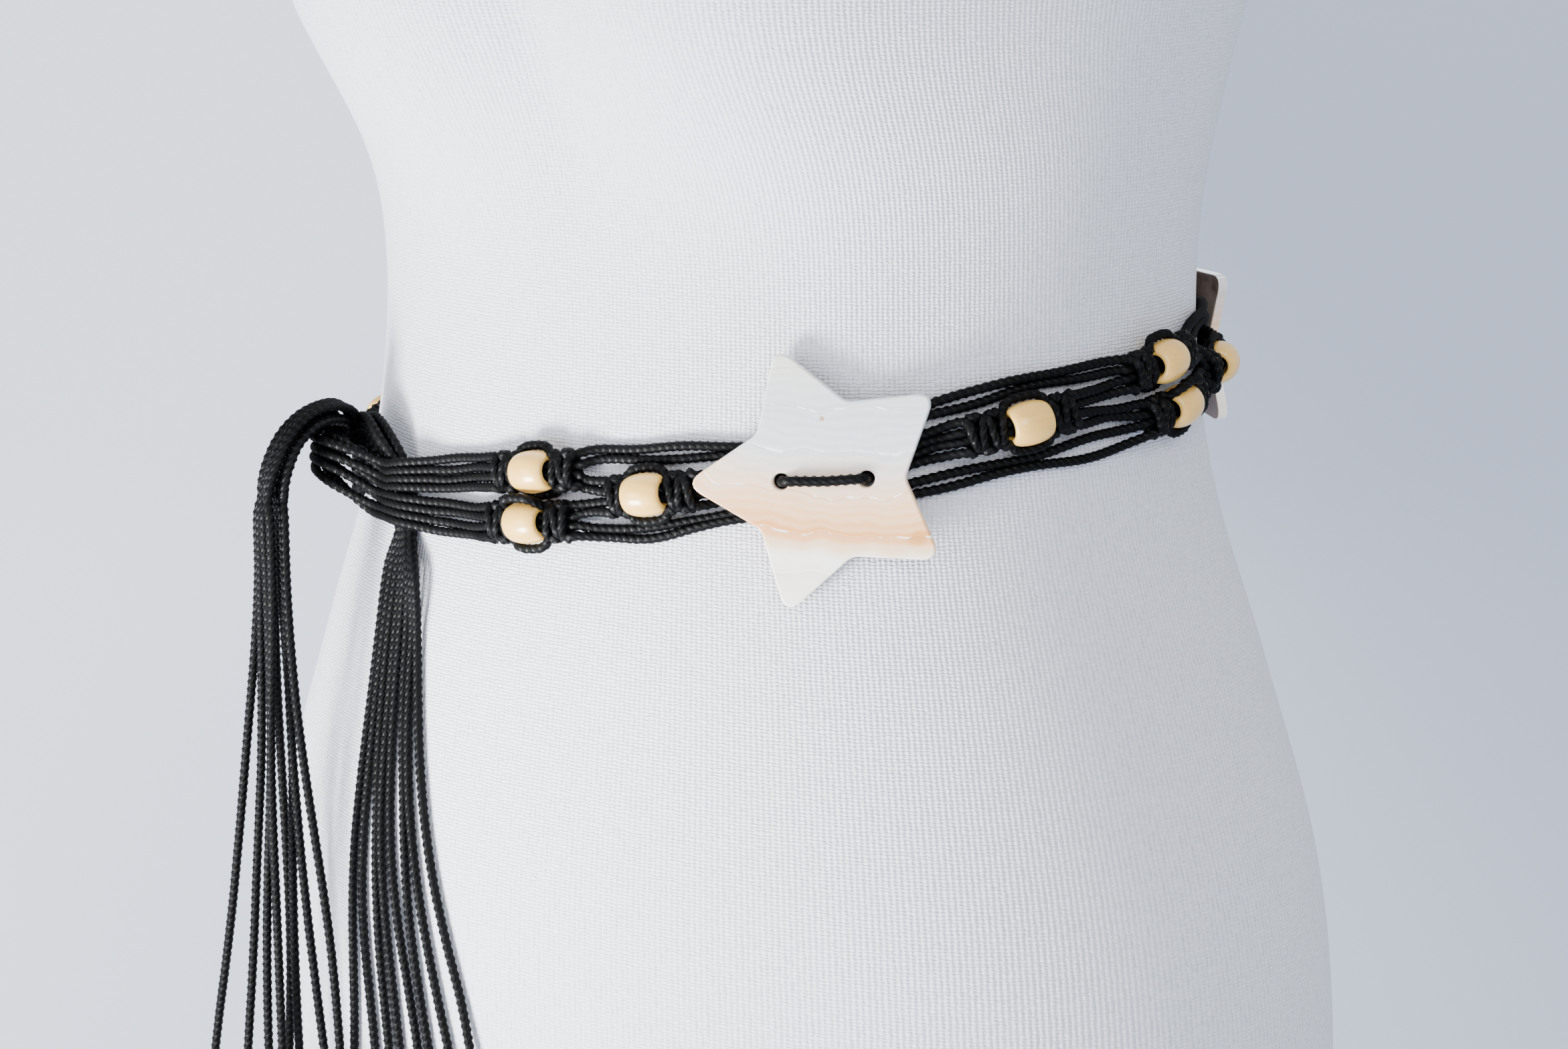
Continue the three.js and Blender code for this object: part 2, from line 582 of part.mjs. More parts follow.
function buildBead(name, s, v) {
	const half = BEAD.length / 2;
	const end = BEAD.endDiameter / 2;
	const swell = BEAD.diameter / 2 - end;
	const profile = [new THREE.Vector2(BEAD.bore / 2, -half)];
	for (const share of [-1, -0.75, 0, 0.75, 1]) {
		const radius = end + swell * Math.sqrt(1 - share ** 2);
		profile.push(new THREE.Vector2(radius, share * half));
	}
	profile.push(new THREE.Vector2(BEAD.bore / 2, half));
	profile.push(new THREE.Vector2(BEAD.bore / 2, -half));
	const geometry = new THREE.LatheGeometry(profile, BEAD_SIDES);
	geometry.rotateZ(-Math.PI / 2);
	geometry.applyMatrix4(beltMatrix(s, v, BEAD.height));
	addMesh(name, geometry, materials.wood);
}

function starShape() {
	const corners = [];
	for (let i = 0; i < 10; i += 1) {
		const radius = (i % 2 === 0 ? STAR.tip * 1.08 : STAR.notch) - STAR.edge;
		const angle = Math.PI + i * Math.PI / 5;
		corners.push(new THREE.Vector2(Math.cos(angle), Math.sin(angle)).multiplyScalar(radius));
	}
	const shape = new THREE.Shape();
	corners.forEach((corner, i) => {
		const rounding = i % 2 === 0 ? STAR.tipRound : STAR.notchRound;
		const enter = corner.clone().lerp(corners[(i + 9) % 10], rounding);
		const leave = corner.clone().lerp(corners[(i + 1) % 10], rounding);
		if (i === 0) shape.moveTo(enter.x, enter.y);
		else shape.lineTo(enter.x, enter.y);
		shape.quadraticCurveTo(corner.x, corner.y, leave.x, leave.y);
	});
	shape.closePath();
	for (const side of [-1, 1]) {
		const hole = new THREE.Path();
		const x = side * STAR_HOLE.spacing / 2;
		hole.absarc(x, 0, STAR_HOLE.diameter / 2 + STAR.edge, 0, 2 * Math.PI, true);
		shape.holes.push(hole);
	}
	return shape;
}

function buildStar(index) {
	const s = index * REPEAT + STAR_AT.s;
	const turn = THREE.MathUtils.degToRad(STAR_TURNS[index]);
	const shape = starShape();
	const geometry = new THREE.ExtrudeGeometry(shape, {
		depth: STAR.thick - 2 * STAR.edge,
		bevelSize: STAR.edge,
		bevelThickness: STAR.edge,
		bevelSegments: 1,
		curveSegments: 3,
	});
	geometry.translate(0, 0, STAR.edge);
	geometry.rotateZ(turn);
	const matrix = beltMatrix(s, STAR_AT.v, STAR_BACK);
	geometry.applyMatrix4(matrix);
	addMesh(`shell_star_${index + 1}`, geometry, materials.shell);

	// The lacing runs over the face and down through both holes
	const half = STAR_HOLE.spacing / 2;
	const low = -0.1;
	const high = STAR.thick + GAP + LACING / 2;
	const route = [
		[-half, low],
		[-half, STAR.thick * 0.5],
		[-half + 0.5, STAR.thick + 0.4],
		[-half + 2.4, high],
		[0, high + 0.1],
		[half - 2.4, high],
		[half - 0.5, STAR.thick + 0.4],
		[half, STAR.thick * 0.5],
		[half, low],
	];
	const points = route.map(([along, out]) => new THREE.Vector3(along, 0, out));
	const lacing = tube(points, LACING, 5, 12);
	lacing.rotateZ(turn);
	lacing.applyMatrix4(matrix);
	addMesh(`star_lacing_${index + 1}`, lacing, materials.cord);
}

// The tie's own axes: along the belt, out from the form and up
const tieAxes = beltAxes(TIE_AT);
const tieOut = tieAxes.out.clone().setZ(0).normalize();
const tieUp = new THREE.Vector3(0, 0, 1);
const tieAlong = tieUp.clone().cross(tieOut).normalize();

function tiePoint(along, out, up) {
	return tieAxes.point.clone()
		.addScaledVector(tieAlong, along)
		.addScaledVector(tieOut, out)
		.addScaledVector(tieUp, up);
}

// A point moved out of the form until it clears it by at least the given distance
function clearOfForm(point, clearance) {
	const angle = formAngle(point);
	const surface = formPoint(angle, point.z);
	const normal = formNormal(angle, point.z);
	const distance = point.clone().sub(surface).dot(normal);
	const lift = Math.max(0, clearance - distance);
	return point.clone().addScaledVector(normal, lift);
}

// A bundle of cords as one ribbed body. Its width lies across the way it runs.
function bundle(rows) {
	const centres = rows.map((row) => tiePoint(row.along, row.out, row.up));
	const sections = rows.map((row, i) => {
		const ahead = centres[Math.min(i + 1, rows.length - 1)];
		const behind = centres[Math.max(i - 1, 0)];
		const forward = ahead.clone().sub(behind).normalize();
		const lean = THREE.MathUtils.degToRad(row.lean);
		const across = tieAlong.clone().multiplyScalar(Math.cos(lean));
		across.addScaledVector(tieUp, Math.sin(lean));
		const thick = across.cross(forward).normalize();
		const wide = forward.clone().cross(thick).normalize();
		const ring = [];
		for (let corner = 0; corner < 2 * BUNDLE_RIDGES; corner += 1) {
			const angle = Math.PI * corner / BUNDLE_RIDGES;
			const reach = corner % 2 === 0 ? 1 : BUNDLE_GROOVE;
			const point = centres[i].clone()
				.addScaledVector(wide, reach * row.halfWidth * Math.cos(angle))
				.addScaledVector(thick, reach * row.halfThick * Math.sin(angle));
			ring.push(clearOfForm(point, BUNDLE_LIFT));
		}
		return ring;
	});
	return loft(sections);
}

function buildTie() {
	const pieces = [bundle(FRONT_BUNDLE), bundle(BACK_BUNDLE)];
	addCords('tie_knot', pieces);
}

// Strands hang together from a root, spread on the way down and stay clear of the hip's widest section
function buildFringe(name, fringe) {
	const { root } = fringe;
	const startUp = root[1].up + ROOT_DEPTH;
	const pieces = [bundle(root)];
	for (const strand of fringe.strands) {
		const topZ = tiePoint(strand.along, strand.out, startUp).z;
		const points = [];
		for (let step = 0; step <= FRINGE_STEPS; step += 1) {
			const share = step / FRINGE_STEPS;
			const up = startUp - share * (topZ - strand.end);
			const depth = (share * (topZ - strand.end)) / (topZ - SPREAD_HEIGHT);
			const drift = THREE.MathUtils.smoothstep(depth, 0, 1);
			const along = THREE.MathUtils.lerp(strand.along, strand.endAlong, drift);
			const out = THREE.MathUtils.lerp(strand.out, strand.endOut, drift);
			const place = tiePoint(along, out, up);
			const beside = place.clone().setZ(Math.max(place.z, HIP_HEIGHT));
			const push = clearOfForm(beside, CORD / 2 + FRINGE_LIFT).sub(beside).setZ(0);
			points.push(place.add(push));
		}
		pieces.push(tube(points, CORD, FRINGE_SIDES, FRINGE_STEPS));
	}
	addCords(name, pieces);
}

buildForm();
buildBand();
for (let pair = 0; pair <= STAR_COUNT; pair += 1) {
	const shift = PAIR_SHIFTS[pair];
	buildBead(`pair_bead_${pair + 1}_upper`, pair * REPEAT + shift.upper, PAIR_OFFSET);
	buildBead(`pair_bead_${pair + 1}_lower`, pair * REPEAT + shift.lower, -PAIR_OFFSET);
}
for (let star = 0; star < STAR_COUNT; star += 1) {
	const base = star * REPEAT;
	const { first, second } = MIDDLE_SHIFTS[star];
	const firstName = `middle_bead_${2 * star + 1}`;
	const secondName = `middle_bead_${2 * star + 2}`;
	buildBead(firstName, base + FIRST_MIDDLE.s + first.s, FIRST_MIDDLE.v + first.v);
	buildBead(secondName, base + SECOND_MIDDLE.s + second.s, SECOND_MIDDLE.v + second.v);
	buildStar(star);
}
buildTie();
buildFringe('fringe_back', BACK_FRINGE);
buildFringe('fringe_front', FRONT_FRINGE);

export default group;
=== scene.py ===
"""Knotted fringe belt tied round a dress form.

Sizes in the tables are millimetres in the part's own frame: +Z up, the form faces -Y.
"""

import bmesh
import bpy
import numpy as np
from functools import partial
from math import cos, pi, radians, sin, sqrt
from mathutils import Matrix, Vector


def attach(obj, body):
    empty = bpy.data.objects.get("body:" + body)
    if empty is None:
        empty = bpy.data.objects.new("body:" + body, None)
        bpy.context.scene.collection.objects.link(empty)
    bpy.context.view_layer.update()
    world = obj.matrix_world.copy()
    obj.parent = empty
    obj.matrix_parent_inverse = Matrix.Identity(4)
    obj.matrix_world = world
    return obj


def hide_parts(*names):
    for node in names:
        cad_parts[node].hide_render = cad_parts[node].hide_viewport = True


bl_info = {
    "name": "Knotted fringe belt",
    "version": (1, 0, 0),
    "blender": (4, 5, 0),
    "location": "View3D > Sidebar > Belt",
    "description": "Square-knotted cord belt with beads and shell stars on a dress form",
    "category": "Add Mesh",
}

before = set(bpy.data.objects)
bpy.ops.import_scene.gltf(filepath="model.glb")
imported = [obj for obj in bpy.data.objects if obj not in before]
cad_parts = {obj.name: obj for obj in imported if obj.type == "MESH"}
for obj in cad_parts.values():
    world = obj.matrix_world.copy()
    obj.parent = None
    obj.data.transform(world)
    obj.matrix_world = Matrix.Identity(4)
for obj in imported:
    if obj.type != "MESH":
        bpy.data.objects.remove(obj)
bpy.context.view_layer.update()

MM = 0.001
# A wave texture of this scale has a period of 1
ONE_WAVE = 0.31416
# The star's faces are mapped in units of 10 mm
FACE_UNIT = 10 * MM
# A face of the star whose normal is lower than this has the back's material
BACK_FACING = -0.6
SHARP_ANGLE = 50.0
ROUTE_STEP = 0.5
# Keeps the spline's times apart where two of its points meet
LEAST_TIME = 1e-6
# Points this close are merged, in metres
SAME_PLACE = 1e-6

# The gap between pieces, and cord, bead and star sizes. The star's corner is where the edges of a
# rounded tip would meet, and STAR_BACK is the height of its back over the form.
GAP = 0.3
CORD = 2.3
BEAD = {"length": 10.8, "diameter": 11.0, "end": 7.4, "bore": 5.6, "height": 6.2}
STAR = {"corner": 34.56, "notch": 20.0, "thick": 3.0, "edge": 0.6}
# The roundings take these shares of the sides that meet, with this many points each
STAR_ROUNDING = {"tip": 0.2, "notch": 0.09, "points": 7}
HOLE = {"diameter": 4.0, "spacing": 21.2, "points": 32}
# The lacing's solid, and the cord that is drawn for it
LACING = 2.1
LACING_DRAWN = 2.415
STAR_BACK = 3.5

# Belt pattern, measured along the belt from the middle of the first bead pair
REPEAT = 182.0
STAR_COUNT = 3
FIRST_MIDDLE = (34.5, -0.8)
STAR_AT = (82.0, -2.0)
SECOND_MIDDLE = (134.0, 2.2)
PAIR_OFFSET = 6.5
STAR_TURNS = (-7, 42, -12)

# Hand-tied beads sit a little off their even places: upper and lower bead of each pair,
# then s and v of the first and the second middle bead of each repeat
PAIR_SHIFTS = ((4, 1), (-5, -1), (1.5, -1.5), (-1, 1))
MIDDLE_SHIFTS = (((2.5, 0), (-2, 0)), ((-2.5, -2.2), (0.5, -0.3)), ((1, 0.3), (-1, 0.3)))
# Height of the cords' middles in a knot, and length of a half knot along the belt
KNOT_HEIGHT = 4.8
KNOT_PITCH = 2.4
# The two outer cords of a half knot, as s, v and n from its middle
FRONT_CROSSING = (
    (-0.9, 3.8, 0.5), (-0.45, 2.7, 2.1), (0, 0, 2.55), (0.45, -2.7, 2.1), (0.9, -3.8, 0.5))
BACK_CROSSING = (
    (-1.1, -4.0, 1.1), (-0.4, -4.6, 0.5), (-0.1, -2.8, -1.7), (0, 0, -2.45),
    (0.1, 2.8, -1.7), (0.4, 4.6, 0.5), (1.1, 4.0, 1.1))
# A cord passes a bead this far from its middle, and closer by the tuck at the bead's ends, which
# are given as a share of its half length
BEAD_SIDE = {"wide": 6.85, "tuck": 0.55, "end": 0.72}
# Between the beads of a pair one cord passes behind the other, both close to the middle line
BETWEEN_BEADS = {"aside": 0.1, "behind": 1.75, "front": 10.4}
PAIR_KNOTS = (3, 3)
FIRST_MIDDLE_KNOTS = (2, 3)
SECOND_MIDDLE_KNOTS = (4, 3)
# How far the front of a half knot leans along the belt, at most
KNOT_LEAN = 0.25
# Cords lower than this are open and wander by up to so much
OPEN = {"below": 4.2, "fade": 1.5, "across": 0.55, "out": 0.3}
BELT_PLANE = {"height": 348.0, "rise_x": 0.14, "rise_y": 0.12, "start": -95.0}

# The form's rounded edges at top and underside, and the height of a stitch of its cover
FORM_EDGE = 4.0
STITCH = 0.9

# Sections of the dress form: height, half width, half depth
SQUARENESS = 2.15
FORM_ROWS = np.array([
    (0, 145, 98), (60, 153, 102), (120, 160, 106), (175, 162.5, 108), (230, 156, 108),
    (285, 138.5, 101), (330, 122.5, 95), (370, 116, 92), (405, 116.5, 92.5), (440, 123, 96),
    (480, 133, 101), (530, 141, 103), (580, 147, 98), (615, 149, 86), (640, 138, 72),
    (655, 112, 62), (668, 74, 55), (685, 56, 52), (715, 52, 50),
], float)
BUST = {"x": 56.0, "z": 486.0, "radius": 60.0, "depth": 34.0, "sharpness": 3.0}

# Free cords along one repeat: s, n, then the sideways place of each edge cord
EDGE_TO_STAR = [
    (22, 2.2, 11.2, 8.5, -8.4, -10.9), (35, 2, 10.6, 8.1, -9.2, -11.7), (48, 2, 10.3, 7.8, -8, -10.4),
    (62, 1.95, 9.2, 6.8, -7, -9.4), (82, 1.95, 7.6, 5.2, -7.4, -9.8),
]
EDGE_FROM_STAR = [
    (82, 1.95, 7.6, 5.2, -7.4, -9.8), (96, 1.95, 9.6, 7.2, -6.8, -9.3), (108, 2, 11.4, 8.9, -6.4, -9),
    (122, 1.95, 12.4, 9.9, -6.2, -8.9), (134, 1.95, 13, 10.5, -6.6, -9.8),
    (148, 1.95, 12, 9.2, -6.8, -11.4), (160, 2.2, 10.8, 8.2, -7.6, -11.6),
]
# The four middle cords: s, n, middle of the upper two, middle of the lower two, spacing
PAIR_TO_MIDDLE = [(18.5, 3.8, 2.7, -3.3, 2.1)]
MIDDLE_TO_STAR = [(56, 2.2, 1.5, -3.1, 2.3), (68, 1.95, 1.4, -3.2, 2.3), (82, 1.95, 1.2, -3.4, 2.3)]
STAR_TO_MIDDLE = [(82, 1.95, 1.2, -3.4, 2.3), (97, 1.95, 2.8, -2.0, 2.4), (109, 2.4, 4.1, -0.5, 2.3)]
MIDDLE_TO_PAIR = [(157, 2.6, 4.1, -2.3, 2.4)]
# Eight cords between the tie and a pair: s, n, middles of the upper and lower four, spacing
FRONT_RUN = [
    (-52.3, 8.2, 4.1, -4.1, 2.05), (-46.5, 7.7, 4.7, -4.7, 2.2), (-38, 4.6, 5.3, -5.4, 2.4),
    (-29, 2.6, 6.0, -6.1, 2.6), (-20, 2.8, 6.4, -6.5, 2.7),
]
BACK_RUN = [(22, 2.6, 5.9, -6.0, 2.6), (34, 2.2, 4.9, -4.9, 2.3), (44.2, 2.8, 4.1, -4.1, 2.05)]

# Cords in the tie lie this far off their even places, at most
TIE_UNEVEN = {"wide": 0.35, "thick": 0.25}
# Where the tie sits along the belt. The cords run into it in two groups of four.
TIE_AT = -72.0
TIE_GROUP = 4.1
TIE_SPACING = 2.05
# The last two places of the band's cords before the tie: s, n and share of the spacing
FRONT_LEAD = ((-50.5, 8.1, 1.02), (-52.0, 8.2, 1.0))
BACK_LEAD = ((STAR_COUNT * REPEAT + 42.7, 2.7, 1.02), (STAR_COUNT * REPEAT + 44.0, 2.8, 1.0))

# The tie: along the belt, out from the form, up, half width, half thickness, lean in degrees
FRONT_BUNDLE = [
    (15.2, 7.4, 3.0, 8.2, 1.5, -85), (11.6, 11.2, 5.6, 7.8, 2.0, -92), (8.0, 15.2, 8.2, 7.2, 2.5, -90),
    (3.6, 17.8, 9.8, 6.6, 2.9, -90), (-1, 18, 10.4, 6, 3, -90), (-5.2, 14.6, 10.8, 5.6, 3, -100),
    (-7.4, 10.4, 12.8, 5.2, 3, -135), (-6.4, 9.2, 16.6, 4.8, 3, -165), (-3, 11.2, 20, 4.6, 3.1, -180),
    (1.4, 17.4, 21.2, 4.6, 3.2, -180), (4.4, 23.2, 19.6, 4.8, 3.3, -180),
    (6.2, 28.4, 15.2, 4.8, 3.3, -180), (7, 32.2, 8.4, 5, 3.4, -180), (7, 33.8, 3, 5.2, 3.4, -180),
    (7, 34, 0, 5.2, 3.4, -180),
]
BACK_BUNDLE = [
    (-17.4, 2.2, 1.6, 7.4, 1.6, 108), (-12.6, 3.6, 5.2, 6.2, 2.2, 128), (-7.4, 4.8, 10.6, 5.2, 2.7, 132),
    (-1.4, 5.4, 15.0, 4.8, 2.8, 112), (5.4, 5.2, 16.4, 4.8, 2.8, 84), (12.2, 4.2, 13.4, 4.8, 2.6, 46),
    (17.0, 1.2, 6.6, 4.6, 2.0, 18), (19.4, 0.2, -2, 4.6, 1.8, 6), (20.4, 0.3, -9, 4.6, 1.9, 0),
]

# Least distances from the form to the middles of the cords in the tie and the fringe
TIE_CLEARANCE = CORD / 2 + 0.5
FRINGE_CLEARANCE = CORD / 2 + 0.6

# Fringe strands: top along and out, bottom along and out, height of the end. They are spread in full
# at SPREAD_HEIGHT, and below HIP_HEIGHT they keep clear of the form's widest part.
FRINGE_STEPS = 18
HIP_HEIGHT = 175.0
SPREAD_HEIGHT = 110.0
SWAY_GROWS = 60.0
SWAY_FORTH = 0.6
BACK_FRINGE_TOP = -4.0
BACK_FRINGE_SWAY = 1.6
BACK_FRINGE = [
    (2.6, 36.8, -14, 54, 34), (5.8, 37, -3, 45, 22), (9, 36.8, 6, 40, 41), (12.2, 36.2, 15, 39, 29),
    (2.6, 32.4, 4, 33.5, 47), (5.8, 32.2, 14, 31, 25), (9, 32, 23, 27, 38), (12.2, 32.2, 33, 24, 18),
]
FRONT_FRINGE_TOP = -19.0
FRONT_FRINGE_SWAY = 1.0
FRONT_FRINGE = [
    (14, 3, 13, 0, 31), (16.8, 3, 24, 0, 44), (19.6, 3, 32, 0, 20), (22.4, 3, 39.5, 0, 36),
    (25.2, 3, 47, 0, 26), (28, 3, 56, 0, 49), (30.8, 3, 67, 0, 33), (33.6, 3, 79, 0, 24),
]

# A cord's section repeats these shares of its half width three times: a crown, then a groove
STRAND_REACHES = (1.0, 0.83, 0.83)

# The photograph's camera
CAMERA = {"azimuth": 34.0, "elevation": 11.5, "distance": 930.0, "aim": (0, 0, 313), "lens": 76.4}

# The floor reaches this far each way, in metres
FLOOR_REACH = 20.0

# The even light, and the lamps, in metres: share of the key's power, size, place, cone in degrees.
# The low one throws the star's shadow upwards, in a cone that stays off the floor.
SKY_COLOUR = "#f2f5fb"
LAMP_AIM = (0.0, -0.05, 0.36)
LAMPS = {
    "key_light": (1.0, 0.5, (-0.55, -1.15, 0.42), 180),
    "low_light": (0.36, 0.2, (-0.16, -0.5, 0.06), 80),
    "top_light": (0.75, 0.5, (0.75, -0.8, 0.85), 180),
    "rim_light": (0.3, 0.6, (-0.8, 1.3, 0.9), 180),
}


# Settings

def colour_setting(name, what, default):
    return bpy.props.StringProperty(
        name=name, description=f"Colour of {what} as an sRGB hex value", default=default)


class BeltCordSettings(bpy.types.PropertyGroup):
    """Black waxed cotton cord"""
    step: bpy.props.FloatProperty(
        name="Ring spacing", description="Distance between two rings of a cord, in millimetres",
        default=0.52, min=0.3, max=3.0)
    lay: bpy.props.FloatProperty(
        name="Lay", description="Length of one full turn of the three strands, in millimetres",
        default=6.4, min=3.0, max=20.0)
    fullness: bpy.props.FloatProperty(
        name="Fullness", description="Width over the strands as a share of the cord's nominal width",
        default=1.2, min=0.8, max=1.4, subtype="FACTOR")
    colour: colour_setting("Colour", "the cord", "#060607")


class BeltBeadSettings(bpy.types.PropertyGroup):
    """Lacquered wooden beads"""
    segments: bpy.props.IntProperty(
        name="Segments", description="Faces round a bead", default=40, min=12, max=96)
    colour: colour_setting("Colour", "the pale wood", "#e9ba5c")
    grain: colour_setting("Grain colour", "the darker grain", "#d6a04a")


class BeltStarSettings(bpy.types.PropertyGroup):
    """Polished shell stars"""
    pearl: colour_setting("Pearl", "the grey-white part", "#c6ccd0")
    peach: colour_setting("Peach", "the band through the holes", "#e59a4e")
    cream: colour_setting("Cream", "the part below the band", "#fbf8f1")
    back: colour_setting("Back", "the back", "#8d7c6f")


class BeltFormSettings(bpy.types.PropertyGroup):
    """Dress form in a rib-knit cover"""
    segments: bpy.props.IntProperty(
        name="Segments", description="Faces round the form", default=192, min=36, max=400)
    rows: bpy.props.IntProperty(
        name="Rows", description="Faces up the form", default=220, min=40, max=400)
    ribs: bpy.props.IntProperty(
        name="Ribs", description="Knitted ribs round the form", default=520, min=100, max=900)
    colour: colour_setting("Colour", "the cover", "#dadce4")


class BeltStageSettings(bpy.types.PropertyGroup):
    """Floor, lights and camera"""
    floor: colour_setting("Floor", "the floor", "#e6ecfb")
    key: bpy.props.FloatProperty(
        name="Key light", description="Power of the large light at the left, in watts",
        default=8.4, min=0.0, max=200.0, unit="POWER")
    sky: bpy.props.FloatProperty(
        name="Sky", description="Strength of the even light from all round",
        default=1.2, min=0.0, max=5.0)


# The form's and the belt's own places

def distances(points):
    """How far along a line each of its points is"""
    return np.concatenate([[0], np.cumsum(np.linalg.norm(np.diff(points, axis=0), axis=1))])


def form_size(z, column):
    """A size of the form at heights, smooth through the rows of its table"""
    heights, values = FORM_ROWS[:, 0], FORM_ROWS[:, column]
    last = len(heights) - 1
    i = np.clip(np.searchsorted(heights, z) - 1, 0, last - 1)
    below = np.maximum(np.arange(last + 1) - 1, 0)
    above = np.minimum(np.arange(last + 1) + 1, last)
    slopes = (values[above] - values[below]) / (heights[above] - heights[below])
    step = heights[i + 1] - heights[i]
    u = (z - heights[i]) / step
    return ((2 * u**3 - 3 * u**2 + 1) * values[i] + (u**3 - 2 * u**2 + u) * slopes[i] * step
            + (3 * u**2 - 2 * u**3) * values[i + 1] + (u**3 - u**2) * slopes[i + 1] * step)


def signed_power(value, power):
    """A power that keeps the value's sign"""
    return np.sign(value) * np.abs(value) ** power


def form_point(angle, z):
    """Points of the form without its bust, at angles round it and heights"""
    angle, z = np.broadcast_arrays(np.asarray(angle, float), np.asarray(z, float))
    x = form_size(z, 1) * signed_power(np.cos(angle), 2 / SQUARENESS)
    y = form_size(z, 2) * signed_power(np.sin(angle), 2 / SQUARENESS)
    return np.stack([x, y, z], axis=-1)


def unit(vectors):
    return vectors / np.linalg.norm(vectors, axis=-1, keepdims=True)


def form_normal(angle, z):
    """The direction out of the form without its bust"""
    step = 0.001
    around = form_point(angle + step, z) - form_point(angle - step, z)
    upward = form_point(angle, z + step) - form_point(angle, z - step)
    return unit(np.cross(around, upward))


def form_angle(points):
    """The angle on the form that lies nearest each point at the point's own height"""
    z = points[..., 2]
    x, y = points[..., 0] / form_size(z, 1), points[..., 1] / form_size(z, 2)
    return np.arctan2(signed_power(y, SQUARENESS / 2), signed_power(x, SQUARENESS / 2))


def belt_line():
    """The belt's middle line on the form, with the distance along it, at half degrees round it"""
    angles = np.radians(BELT_PLANE["start"]) + np.linspace(0, 2 * pi, 721)
    z = np.full(len(angles), BELT_PLANE["height"])
    for _ in range(8):
        points = form_point(angles, z)
        z = (BELT_PLANE["height"] + BELT_PLANE["rise_x"] * points[:, 0]
             + BELT_PLANE["rise_y"] * points[:, 1])
    points = form_point(angles, z)
    return points, distances(points)


LINE_POINTS, LINE_DISTANCES = belt_line()


def line_at(s):
    distance = np.mod(np.asarray(s, float), LINE_DISTANCES[-1])
    return np.stack([np.interp(distance, LINE_DISTANCES, LINE_POINTS[:, k]) for k in range(3)], -1)


def belt_axes(s):
    """Along the belt, across it and out of the form, at places on its middle line"""
    point = line_at(s)
    along = unit(line_at(s + 1) - line_at(s - 1))
    out = form_normal(form_angle(point), point[..., 2])
    return point, along, unit(np.cross(out, along)), out


def belt_point(s, v, n):
    """s along the belt, v across it and n out from the form"""
    s, v, n = (np.asarray(value, float) for value in (s, v, n))
    point, _, across, _ = belt_axes(s)
    beside = point + across * v[..., None]
    angle, z = form_angle(beside), beside[..., 2]
    return form_point(angle, z) + form_normal(angle, z) * n[..., None]


def belt_matrix(s, v, n):
    """Turns along, across and out at a place on the belt into the part's frame, in metres"""
    _, along, across, _ = belt_axes(np.float64(s))
    out = unit(np.cross(along, across))
    matrix = Matrix([[*row, 0] for row in np.stack([along, across, out], -1)] + [[0, 0, 0, 1]])
    matrix.translation = Vector(belt_point(s, v, n) * MM)
    return matrix


def tie_axes():
    """The tie's place, and level directions along and out of the form there, and up"""
    point, _, _, out = belt_axes(np.float64(TIE_AT))
    out = unit(np.array([out[0], out[1], 0.0]))
    up = np.array([0.0, 0.0, 1.0])
    return point, unit(np.cross(up, out)), out, up


TIE_POINT, TIE_ALONG, TIE_OUT, TIE_UP = tie_axes()


def tie_place(along, out, up):
    return TIE_POINT + TIE_ALONG * along + TIE_OUT * out + TIE_UP * up


def clear_of_form(points, clearance):
    """Points moved out of the form until they clear it by the given distance"""
    points = np.asarray(points, float)
    angle, z = form_angle(points), points[..., 2]
    normal = form_normal(angle, z)
    distance = np.sum((points - form_point(angle, z)) * normal, axis=-1)
    return points + normal * np.maximum(0, clearance - distance)[..., None]


# Cord routes

def smooth(points, step):
    """A centripetal spline through points, with samples about a step apart"""
    points = np.asarray(points, float)
    ends = np.vstack([2 * points[0] - points[1], points, 2 * points[-1] - points[-2]])
    samples = []
    for i in range(len(points) - 1):
        places = ends[i:i + 4]
        gaps = np.linalg.norm(np.diff(places, axis=0), axis=1)
        times = np.concatenate([[0], np.cumsum(np.sqrt(gaps) + LEAST_TIME)])
        count = max(2, int(gaps[1] / step) + 1)
        t = np.linspace(times[1], times[2], count, endpoint=False)[:, None]
        for spans in (((0, 1), (1, 2), (2, 3)), ((0, 2), (1, 3)), ((1, 2),)):
            shares = [(t - times[a]) / (times[b] - times[a]) for a, b in spans]
            places = [(1 - share) * places[k] + share * places[k + 1] for k, share in enumerate(shares)]
        samples.append(places[0])
    samples.append(points[-1:])
    return np.vstack(samples)


def even(points, step):
    """The same line with points an even step apart"""
    lengths = distances(points)
    at = np.linspace(0, lengths[-1], max(2, round(lengths[-1] / step) + 1))
    return np.stack([np.interp(at, lengths, points[:, k]) for k in range(3)], -1)


def cord_route(controls, step):
    """A cord through points, with its own points an even step apart"""
    return even(smooth(controls, ROUTE_STEP), step)


def belt_route(controls, step, index):
    """A route given as s, v and n, as points of the part's frame"""
    s, v, n = smooth(controls, step).T
    # Open cords lie low. They wander a little, each out of step with its neighbours.
    loose = np.clip((OPEN["below"] - n) / OPEN["fade"], 0, 1)
    v = v + OPEN["across"] * loose * np.sin(s / 8.3 + 2.4 * index) * np.cos(s / 21 + index)
    n = n + OPEN["out"] * loose * np.sin(s / 6.1 + 1.7 * index)
    return even(belt_point(s, v, n), step)


